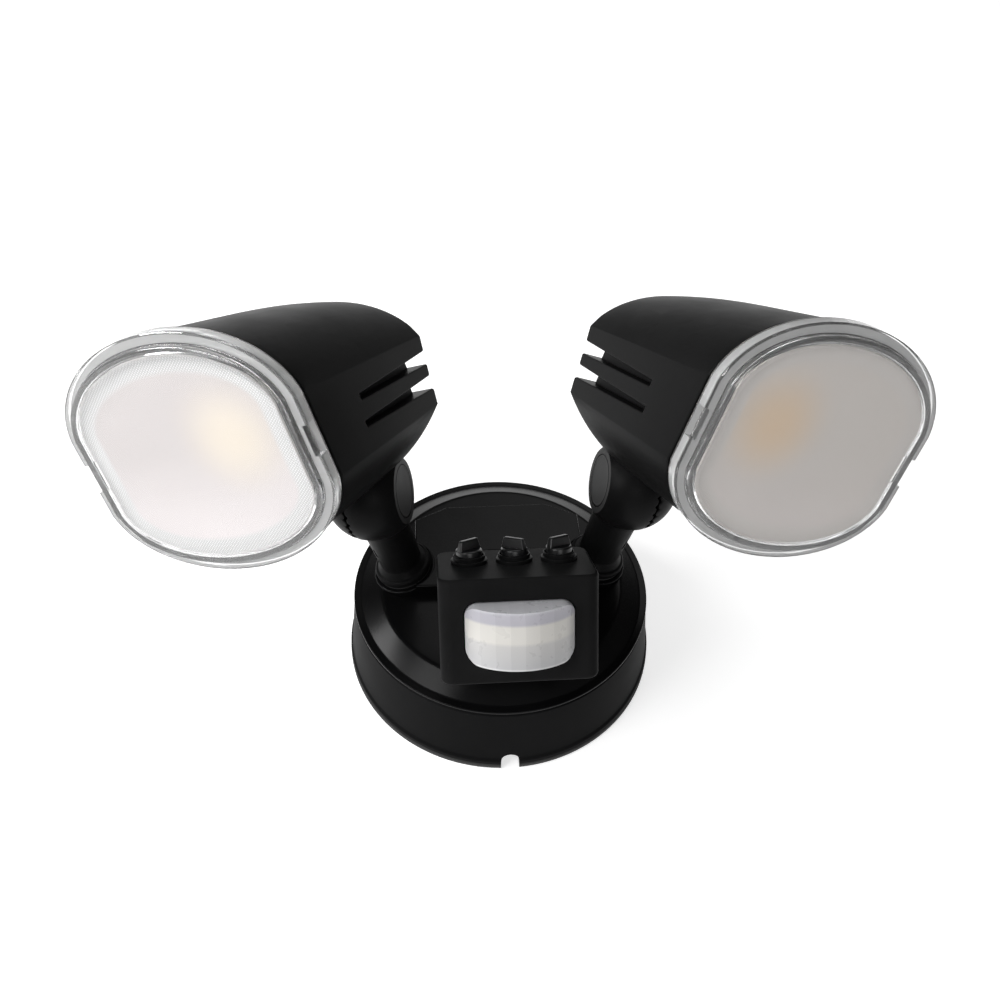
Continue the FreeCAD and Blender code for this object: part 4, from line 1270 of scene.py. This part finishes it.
@dataclass
class LensOutline:
    """Outline of a lens: two upright flats joined by a big arc above and a smaller one below."""

    middle_x: float = 8.2
    width: float = 79.5
    flat_low: float = 33.3
    flat_high: float = 58.3
    top: float = 83.1
    bottom: float = 10.2
    kink: float = 6.0
    clip_half: float = 4.5
    clip_side: float = 0.05
    arc_steps: int = 56

    def middle_z(self) -> float:
        """Returns the height of the middle of the flats."""
        return (self.flat_low + self.flat_high) / 2

    def flat_heights(self) -> list[float]:
        """Spaces the points on a flat, with close pairs beside the clip.

        Returns:
            Their heights, from low to high.
        """
        low, high = self.middle_z() - self.clip_half, self.middle_z() + self.clip_half
        under, over = low - self.clip_side, high + self.clip_side
        heights = [self.flat_low + (under - self.flat_low) * k / 4 for k in range(1, 4)] + [under, low]
        heights += [low + (high - low) * k / 3 for k in (1, 2)] + [high, over]
        return heights + [over + (self.flat_high - over) * k / 4 for k in range(1, 4)]

    def arc(self, cap: float, level: float, sign: int, inset: float) -> list[Point]:
        """Draws the arc above or below the flats.

        Args:
            cap: Height of the arc.
            level: Height of its ends.
            sign: 1 for the arc above, -1 for the one below.
            inset: Distance from the lens's outer edge.

        Returns:
            The points, from right to left above and from left to right below.
        """
        kink = math.radians(self.kink)
        wide = (self.width / 2 - inset) / math.cos(kink)
        tall = (cap - inset) / (1 - math.sin(kink))
        centre = level - sign * tall * math.sin(kink)
        points = []
        for step in range(self.arc_steps + 1):
            a = kink + (math.pi - 2 * kink) * step / self.arc_steps
            points.append((self.middle_x + sign * wide * math.cos(a), centre + sign * tall * math.sin(a)))
        return points

    def points(self, inset: float) -> list[Point]:
        """Draws the closed outline.

        Args:
            inset: Distance inside the lens's edge.

        Returns:
            Its points, from the right over the top to the left and back below.
        """
        heights = self.flat_heights()
        half = self.width / 2 - inset
        outline = self.arc(self.top - self.flat_high, self.flat_high, 1, inset)
        outline += [(self.middle_x - half, z) for z in reversed(heights)]
        outline += self.arc(self.flat_low - self.bottom, self.flat_low, -1, inset)
        return outline + [(self.middle_x + half, z) for z in heights]

    def at_clip(self, point: Point) -> bool:
        """Returns whether a point of the outer outline lies at one of the two clips."""
        beside = abs(abs(point[0] - self.middle_x) - self.width / 2) < 0.01
        return beside and abs(point[1] - self.middle_z()) <= self.clip_half + 0.01


@dataclass
class LampHead(SideAssembly):
    """One lamp head with its shell, clear cover and diffuser, in the head's own frame."""

    body: ClassVar[str] = "head"
    inner: ClassVar[dict[str, Finish]] = {
        "head_gasket": RUBBER, "reflector": REFLECTOR_WHITE, "led_board": BOARD_WHITE,
        "led_chip": LED_PHOSPHOR, "heat_plate": ALUMINIUM, "led_screws": STEEL,
    }
    outline: LensOutline = field(default_factory=LensOutline)
    shell_edge: float = 0.5
    flange_front: float = -58.4
    flange_back: float = -54.2
    cover_face: float = -60.4
    step_inset: float = 3.2
    wall: float = 1.8
    face_wall: float = 1.2
    face_inset: float = 12.4
    corner_round: float = 1.1
    ridge_starts: Point = (6.4, 8.6)
    ridge_sunk: float = 0.15
    clip_depth: float = 1.6
    clip_rows: tuple[int, ...] = (5, 6, 7, 8)
    clip_back: float = 1.4
    diffuser_front: float = -58.9
    diffuser_back: float = -57.4
    diffuser_inset: float = 5.6
    diffuser_round: float = 0.3
    prism_width: float = 4.6
    prism_fade: float = 1.5
    map_size: float = 100.0
    slots: tuple[tuple[Point, Point], ...] = (
        ((-30.8, 45.3), (12.7, 38.9)), ((-33.2, 37.9), (10.3, 31.3)),
    )
    slot_tip: float = 1.8
    slot_mouth: float = 4.1
    core_from_rear: float = 5.0
    core_ahead: float = 0.3
    core_overlap: float = 0.15
    core_reach: Point = (-26.0, 42.4)
    fin_rear: float = 9.0
    fin_low: float = 28.0
    fin_high: float = 50.0
    fin_round: float = 1.2

    def slot_core(self, tip: Point, mouth: Point) -> Mesh:
        """Makes the dark core that ends a slot inwards, between its two sides.

        Args:
            tip: Depth and height of the slot's front end.
            mouth: Depth and height of the slot's middle at the head's rear.

        Returns:
            The core in the head's own frame.
        """
        length = mouth[0] - tip[0]
        rise = (mouth[1] - tip[1]) / length
        growth = (self.slot_mouth - self.slot_tip) / 2 / length
        front, rear = tip[0] - self.core_ahead, mouth[0] - self.core_from_rear
        outline = []
        for y, sign in ((front, -1), (rear, -1), (rear, 1), (front, 1)):
            half = self.slot_tip / 2 + growth * (y - tip[0]) + self.core_overlap
            outline.append(Vector((self.core_reach[0], y, tip[1] + rise * (y - tip[0]) + sign * half)) * MM)
        mesh, _ = raised(outline, 0, self.core_reach[1] * MM)
        turn_outwards(mesh)
        return mesh

    def at_fins(self, ends: list[Vector]) -> bool:
        """Returns whether an edge lies at the fins' rear ends."""
        return all(end.y > self.fin_rear and self.fin_low < end.z < self.fin_high for end in ends)

    def build_shell(self) -> None:
        """Builds the shell with wider rounding at the fins' rear ends and a core in each slot."""
        mesh = cad_copy(self.named("head_housing"))
        rear = edges_where(mesh, self.place.matrix(), self.at_fins)
        round_edges(mesh, self.fin_round, segments=4, edges=rear)
        round_edges(mesh, self.shell_edge)
        for tip, mouth in self.slots:
            add_mesh(mesh, self.slot_core(tip, mouth), self.place.matrix())
        self.store(mesh, "head_shell", "head_housing", [SHELL_BLACK])

    def cover_section(self) -> list[tuple[float, float, CoverZone]]:
        """Draws the cover's section, from its back round to its back.

        Returns:
            Insets from the lens's edge and depths, with the zone of the strip that follows each.
        """
        rim, flange, flat = CoverZone.RIM, CoverZone.FLANGE, CoverZone.FACE
        front, back, face = self.flange_front, self.flange_back, self.cover_face
        step, bend = self.step_inset, self.corner_round
        inner, under = step + self.wall, face + self.face_wall
        section = [
            (inner, back, rim), (1.5, back, rim), (0.25, back, rim), (0.0, back - 0.25, rim),
            (0.0, back - 0.7, flange), (0.0, front + 0.6, rim), (0.0, front + 0.3, rim),
            (0.3, front, rim), (0.6, front, flange), (1.9, front, flange),
            (step - 0.35, front, rim), (step - 0.05, front - 0.15, rim), (step, front - 0.4, rim),
        ]
        section += [(*point, rim) for point in arc_points((step + bend, face + bend), bend, 180, 270, 5)]
        for start in self.ridge_starts:
            sunk = face + self.ridge_sunk
            ridge = [(start, face), (start + 0.3, sunk), (start + 0.7, sunk), (start + 1.0, face)]
            section += [(*point, flat) for point in ridge]
        section += [(self.face_inset, face, flat), (self.face_inset, under, flat)]
        return section + [(inner + 0.5, under, rim), (inner, under + 0.5, rim)]

    def cover_row(self, index: int, inset: float, depth: float) -> list[Vector]:
        """Places one row of the cover's section round the outline, stepped in at the clips.

        Args:
            index: Place of the row in the section.
            inset: Distance from the lens's edge.
            depth: Place along the depth of the head.

        Returns:
            The points of the row.
        """
        row = []
        for outer, (x, z) in zip(self.outline.points(0.0), self.outline.points(inset)):
            y = depth
            if self.outline.at_clip(outer) and index in self.clip_rows:
                x = outer[0] + (-self.clip_depth if x > self.outline.middle_x else self.clip_depth)
                y = self.flange_back - self.clip_back if index == self.clip_rows[0] else self.flange_front
            row.append(Vector((x, y, z)) * MM)
        return row

    def build_cover(self) -> None:
        """Sweeps the cover's section round the outline and closes its flat front."""
        mesh = bmesh.new()
        section = self.cover_section()
        rows = [self.cover_row(k, inset, depth) for k, (inset, depth, _) in enumerate(section)]
        placed = join_rows(mesh, rows + rows[:1])
        front = next(k for k, (inset, _, _) in enumerate(section) if inset == self.face_inset)
        between = []
        for k, face in enumerate(mesh.faces):
            strip = k // len(rows[0])
            face.material_index = section[strip][2].value
            if strip == front:
                between.append(face)
        bmesh.ops.delete(mesh, geom=between, context="FACES_ONLY")
        for row in placed[front : front + 2]:
            mesh.faces.new(row).material_index = CoverZone.FACE.value
        merge(mesh, FINE_MERGE)
        move(mesh, self.place.matrix())
        self.store(mesh, "clear_cover", "lens_cover", [COVER_FINISHES[zone] for zone in CoverZone])

    def build_diffuser(self) -> None:
        """Builds the frosted sheet with rounded edges and marks the band of small prisms near its edge."""
        front, back, edge = self.diffuser_front, self.diffuser_back, self.diffuser_round
        section = [
            (1.0, back, 0.0), (edge, back, 0.0), (0.0, back - edge, 0.0), (0.0, front + edge, 0.2),
            (edge, front, 0.6), (0.8, front, 1.0), (self.prism_width, front, 1.0),
            (self.prism_width + self.prism_fade, front, 0.0),
        ]
        rows = []
        for further, depth, _ in section:
            outline = self.outline.points(self.diffuser_inset + further)
            rows.append([Vector((x, depth, z)) * MM for x, z in outline])
        mesh = bmesh.new()
        band = mesh.verts.layers.float.new("prism_band")
        placed = join_rows(mesh, rows)
        mesh.faces.new(placed[0])
        mesh.faces.new(placed[-1])
        for row, (_, _, strength) in zip(placed, section):
            for vert in row:
                vert[band] = strength
        lay_flat(mesh, (0.0, 0.0), (self.map_size, self.map_size))
        move(mesh, self.place.matrix())
        self.store(mesh, "frosted_sheet", "diffuser", [DIFFUSERS[self.place.side]])

    def build(self) -> None:
        """Builds the shell, the clear cover and the diffuser."""
        self.build_shell()
        self.build_cover()
        self.build_diffuser()


@dataclass
class MotionLens:
    """Bulging milky lens of the motion sensor, in the sensor box's own frame."""

    width: float = 34.0
    low: float = 8.6
    high: float = 27.0
    bulge: float = 10.5
    corner: float = 4.0
    wall: float = 1.0
    sink: float = 1.9
    columns: int = 96
    middle_rows: int = 16
    edge_shares: tuple[float, ...] = (0.0, 0.004, 0.015, 0.03)

    def half_width(self, z: float) -> float:
        """Returns half the lens's width at a height, less at its rounded corners."""
        into = max(self.low + self.corner - z, z - self.high + self.corner, 0.0)
        return self.width / 2 - self.corner + math.sqrt(max(self.corner**2 - into**2, 0.0))

    def front_rows(self) -> list[list[Vector]]:
        """Draws the bulging front, with closer rows near its upper and lower edge.

        Returns:
            Its rows of points, from low to high.
        """
        radius = ((self.width / 2) ** 2 + self.bulge**2) / (2 * self.bulge)
        centre = radius - self.bulge
        near, count = self.edge_shares[-1], self.middle_rows
        shares = [*self.edge_shares] + [near + (1 - 2 * near) * k / count for k in range(1, count + 1)]
        shares += [1 - share for share in reversed(self.edge_shares[:-1])]
        rows = []
        for share in shares:
            z = self.low + (self.high - self.low) * share
            row = []
            for k in range(self.columns + 1):
                x = (2 * k / self.columns - 1) * self.half_width(z)
                front = centre - math.sqrt(max(radius**2 - x**2, 0.0))
                row.append(Vector((x, min(front, 0.0), z)) * MM)
            rows.append(row)
        return rows

    def build(self, place: Matrix) -> None:
        """Builds the thin lens and its sides down into the box.

        Args:
            place: Matrix from the box's own frame to the light's.
        """
        mesh = bmesh.new()
        placed = join_rows(mesh, self.front_rows(), closed=False)
        edge = placed[0] + [row[-1] for row in placed[1:]]
        edge += placed[-1][-2::-1] + [row[0] for row in placed[-2:0:-1]]
        inner = [mesh.verts.new((vert.co.x, self.sink * MM, vert.co.z)) for vert in edge]
        for k, vert in enumerate(edge):
            n = (k + 1) % len(edge)
            mesh.faces.new((vert, edge[n], inner[n], inner[k]))
        merge(mesh, MERGE, drop_thin=True)
        turn_outwards(mesh)
        lay_flat(mesh, (-self.width / 2, self.low), (self.width, self.high - self.low))
        bmesh.ops.solidify(mesh, geom=mesh.faces, thickness=self.wall * MM)
        move(mesh, place)
        store_piece(mesh, "motion_lens", "sensor", "pir_lens", [MOTION_MILK], sharp=30.0)


@dataclass
class Knob:
    """One setting knob: a round skirt with a narrow grip, on a stem."""

    name: str
    centre: Point
    grip_angle: float
    skirt_radius: float = 4.4
    skirt_height: float = 4.2
    skirt_round: float = 0.7
    skirt_sunk: float = 0.15
    grip_length: float = 8.6
    grip_width: float = 2.6
    grip_height: float = 3.1
    grip_sink: float = 0.5
    grip_taper: Point = (0.8, 0.64)
    grip_round: float = 0.45
    stem_radius: float = 1.6
    stem_length: float = 7.0
    stem_chamfer: float = 0.3

    def skirt_profile(self) -> list[Point]:
        """Draws the closed half section of the skirt and the stem.

        Returns:
            Its radii and heights.
        """
        r, top, sunk = self.skirt_radius, self.skirt_height, self.skirt_height - self.skirt_sunk
        stem, foot, cut = self.stem_radius, -self.stem_length, self.stem_chamfer
        profile = [(0.0, foot), (stem - cut, foot), (stem, foot + cut), (stem, 0.0)]
        profile += [(r - 0.2, 0.0), (r, 0.2), (r - 0.1, top - 1.2)]
        profile += arc_points((r - 0.8, top - self.skirt_round), self.skirt_round, 10, 90, 4)
        return profile + [(r - 1.4, top), (r - 1.6, sunk), (0.0, sunk)]

    def grip(self) -> Mesh:
        """Shapes the grip from a cube, narrower at its top and with rounded edges.

        Returns:
            The grip, above the skirt.
        """
        mesh = bmesh.new()
        bmesh.ops.create_cube(mesh, size=1.0)
        for vert in mesh.verts:
            upper = vert.co.z > 0
            taper = self.grip_taper if upper else (1.0, 1.0)
            vert.co.x *= self.grip_length * taper[0] * MM
            vert.co.y *= self.grip_width * taper[1] * MM
            vert.co.z = (self.grip_height if upper else -self.grip_sink) * MM
        bevel(mesh, mesh.edges[:], self.grip_round, 3, clamp=True)
        lift = Matrix.Translation((0.0, 0.0, self.skirt_height * MM))
        move(mesh, lift @ Matrix.Rotation(math.radians(self.grip_angle), 4, "Z"))
        return mesh

    def build(self, place: Matrix, level: float) -> None:
        """Builds the knob on the box's top.

        Args:
            place: Matrix from the box's own frame to the light's.
            level: Height of the knob's foot in the box's frame.
        """
        mesh = spun(self.skirt_profile(), 48)
        add_mesh(mesh, self.grip(), Matrix())
        move(mesh, place @ Matrix.Translation(Vector((*self.centre, level)) * MM))
        store_piece(mesh, f"{self.name}_grip", self.name, self.name, [KNOB_BLACK])


@dataclass
class SensorBox(Assembly):
    """Sensor box with its motion lens, collars and knobs, in its own upright frame."""

    body: ClassVar[str] = "sensor"
    inner: ClassVar[dict[str, Finish]] = {
        "sensor_screws": STEEL, "pir_board": BOARD_GREEN, "pir_detector": CAN_METAL,
        "trimmers": TRIMMER_BLUE, "control_board": BOARD_GREEN, "sensor_bracket": SHELL_BLACK,
        "sensor_pin": STEEL,
    }
    knob_angles: ClassVar[dict[str, float]] = {"knob_left": 38.0, "knob_middle": -34.0, "knob_right": 30.0}
    origin: Triple = (1.8, -58.5, 56.0)
    lean: float = 33.1
    height: float = 34.6
    depth: float = 31.6
    knob_pitch: float = 14.5
    knob_from_front: float = 18.5
    collar_radius: float = 5.9
    collar_inner: float = 4.7
    collar_height: float = 2.6
    collar_step: float = 0.9
    gap: float = 0.3
    edge_radius: float = 0.3
    bottom_round: float = 1.7
    lens: MotionLens = field(default_factory=MotionLens)

    def matrix(self) -> Matrix:
        """Returns the matrix from the box's own frame to the light's."""
        lean = Matrix.Rotation(math.radians(-self.lean), 4, "X")
        return Matrix.Translation(Vector(self.origin) * MM) @ lean

    def knob_centres(self) -> list[Point]:
        """Returns the middles of the three knobs on the box's top, from left to right."""
        return [((k - 1) * self.knob_pitch, self.knob_from_front) for k in range(len(self.knob_angles))]

    def collar_profile(self) -> list[Point]:
        """Draws the closed half section of a collar with two steps.

        Returns:
            Its radii and heights.
        """
        r, h, step, bore = self.collar_radius, self.collar_height, self.collar_step, self.collar_inner
        profile = [(bore, 0.0), (r, 0.0), (r, step)] + arc_points((r - 0.35, step), 0.35, 20, 90, 3)
        profile += [(r - 0.65, step + 0.4), (r - 0.7, step + 0.45), (r - 0.7, h - 0.4)]
        profile += arc_points((r - 1.0, h - 0.3), 0.3, 20, 90, 3)
        return profile + [(bore + 0.1, h), (bore, h - 0.1)]

    def build_collars(self) -> None:
        """Builds the three collars as one piece."""
        mesh = bmesh.new()
        for centre in self.knob_centres():
            shift = Matrix.Translation(Vector((*centre, self.height)) * MM)
            add_mesh(mesh, spun(self.collar_profile(), 56), self.matrix() @ shift)
        self.store(mesh, "stepped_collars", "knob_collars", [SHELL_BLACK])

    def at_bottom(self, ends: list[Vector]) -> bool:
        """Returns whether an edge lies along the front or the sides of the box's bottom."""
        return all(end.z < 0.05 for end in ends) and min(end.y for end in ends) < self.depth - 0.1

    def build_shell(self) -> None:
        """Builds the box with a wide rounding along its bottom, and its rear cover."""
        mesh = cad_copy("sensor_housing")
        low = edges_where(mesh, self.matrix(), self.at_bottom)
        round_edges(mesh, self.bottom_round, segments=4, edges=low)
        round_edges(mesh, self.edge_radius)
        self.store(mesh, "sensor_shell", "sensor_housing", [LIT_BOX_BLACK])
        mesh = cad_copy("sensor_back")
        round_edges(mesh, self.edge_radius)
        self.store(mesh, "sensor_rear_cover", "sensor_back", [LIT_BOX_BLACK])

    def build(self) -> None:
        """Builds the box, the motion lens, the collars and the knobs."""
        self.build_shell()
        self.lens.build(self.matrix())
        self.build_collars()
        for centre, (name, angle) in zip(self.knob_centres(), self.knob_angles.items()):
            Knob(name, centre, angle).build(self.matrix(), self.height + self.gap)


# Studio


@dataclass
class SoftLamp:
    """A soft round lamp, with its distance and size in metres and its power in watts."""

    name: str
    direction: Triple
    distance: float
    size: float
    power: float

    def build(self, aim: Vector) -> None:
        """Hangs the lamp.

        Args:
            aim: Point that it faces.
        """
        data = bpy.data.lights.new(self.name, "AREA")
        data.shape = "DISK"
        data.size = self.size
        data.energy = self.power
        lamp = set_up(self.name, data)
        towards = Vector(self.direction).normalized()
        lamp.location = aim + towards * self.distance
        lamp.rotation_mode = "QUATERNION"
        lamp.rotation_quaternion = towards.to_track_quat("Z", "Y")


@dataclass
class Studio:
    """Pale floor, soft lamps, surroundings and camera."""

    floor_half: float = 3000.0
    floor_drop: float = 0.2
    aim_height: float = 80.0
    focal_length: float = 36.0
    sensor_width: float = 36.0
    clip_start: float = 10.0
    camera_turns: Triple = (5.17, -43.14, 1.64)
    object_in_camera: Triple = (-0.37, -53.08, -393.06)
    room: tuple[Point, ...] = ((0.0, 0.4), (0.12, 0.3), (0.35, 0.1), (0.6, 0.12), (0.8, 0.3))
    lamps: tuple[SoftLamp, ...] = (
        SoftLamp("key lamp", (-0.65, -0.4, 0.65), 1.0, 0.5, 4.8),
        SoftLamp("left window", (-0.82, 0.1, 0.57), 1.0, 0.36, 6.0),
        SoftLamp("rear sky", (0.22, 0.6, 0.76), 1.0, 0.6, 1.3),
        SoftLamp("front fill", (0.1, -0.9, 0.5), 1.5, 0.8, 3.5),
    )

    def build(self) -> None:
        """Builds the floor, the surroundings, the lamps and the camera."""
        self.build_floor()
        self.build_world()
        for lamp in self.lamps:
            lamp.build(Vector((0.0, 0.0, self.aim_height)) * MM)
        self.build_camera()

    def build_floor(self) -> None:
        """Lays the paper floor under the base."""
        mesh = bmesh.new()
        bmesh.ops.create_grid(mesh, x_segments=8, y_segments=8, size=self.floor_half * MM)
        data = bpy.data.meshes.new("floor")
        mesh.to_mesh(data)
        mesh.free()
        floor = set_up("floor", data)
        floor.location.z = -self.floor_drop * MM
        floor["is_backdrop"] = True
        data.materials.append(StudioPaper("studio paper", "").material())

    def build_world(self) -> None:
        """Makes plain grey surroundings, whose brightness changes with height."""
        world = bpy.data.worlds.new("studio room")
        world.use_nodes = True
        bpy.context.scene.world = world
        graph = Graph(world.node_tree)
        direction = graph.add("TexCoord").outputs["Generated"]
        height = graph.add("SeparateXYZ", {"Vector": direction}).outputs["Z"]
        shade = graph.ramp(height, *((place, grey(level)) for place, level in self.room))
        room = graph.add("Background", {"Color": shade, "Strength": 1.0})
        graph.add("OutputWorld", {"Surface": room.outputs[0]})

    def build_camera(self) -> None:
        """Places the camera as it stood for the photo."""
        turn, lift, roll = (math.radians(angle) for angle in self.camera_turns)
        level = (
            Vector((1.0, 0.0, 0.0)),
            Vector((0.0, -math.sin(lift), math.cos(lift))),
            Vector((0.0, math.cos(lift), math.sin(lift))),
        )
        turned = []
        for axis in level:
            x = axis.x * math.cos(turn) + axis.z * math.sin(turn)
            z = -axis.x * math.sin(turn) + axis.z * math.cos(turn)
            turned.append(Vector((x, z, axis.y)))
        right = turned[0] * math.cos(roll) + turned[1] * math.sin(roll)
        up = turned[1] * math.cos(roll) - turned[0] * math.sin(roll)
        back = turned[2]
        offset = Vector(self.object_in_camera) * MM
        spot = -(right * offset.x + up * offset.y + back * offset.z)
        data = bpy.data.cameras.new("photo camera")
        data.sensor_width = self.sensor_width
        data.lens = self.focal_length
        data.clip_start = self.clip_start * MM
        camera = set_up("photo camera", data)
        axes = Matrix((right, up, back)).transposed().to_4x4()
        camera.matrix_world = Matrix.Translation(spot) @ axes
        bpy.context.scene.camera = camera


def corners() -> list[list[float]]:
    """Returns the lowest and highest corner of the shown object as plain numbers."""
    return [list(corner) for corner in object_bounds()]


def main() -> None:
    """Builds the light and its studio in order."""
    logging.basicConfig(level=logging.INFO, format="%(message)s")
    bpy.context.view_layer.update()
    bpy.context.scene.view_settings.view_transform = "Standard"
    parts: list[Assembly] = [Base()]
    for place in (HeadPlace(Side.RIGHT, 19.4, 0.9), HeadPlace(Side.LEFT, 20.0, 9.1)):
        parts += [Arm(place), LampHead(place)]
    parts.append(SensorBox())
    for part in parts:
        part.build()
        part.dress()
    Studio().build()


if __name__ == "__main__":
    main()
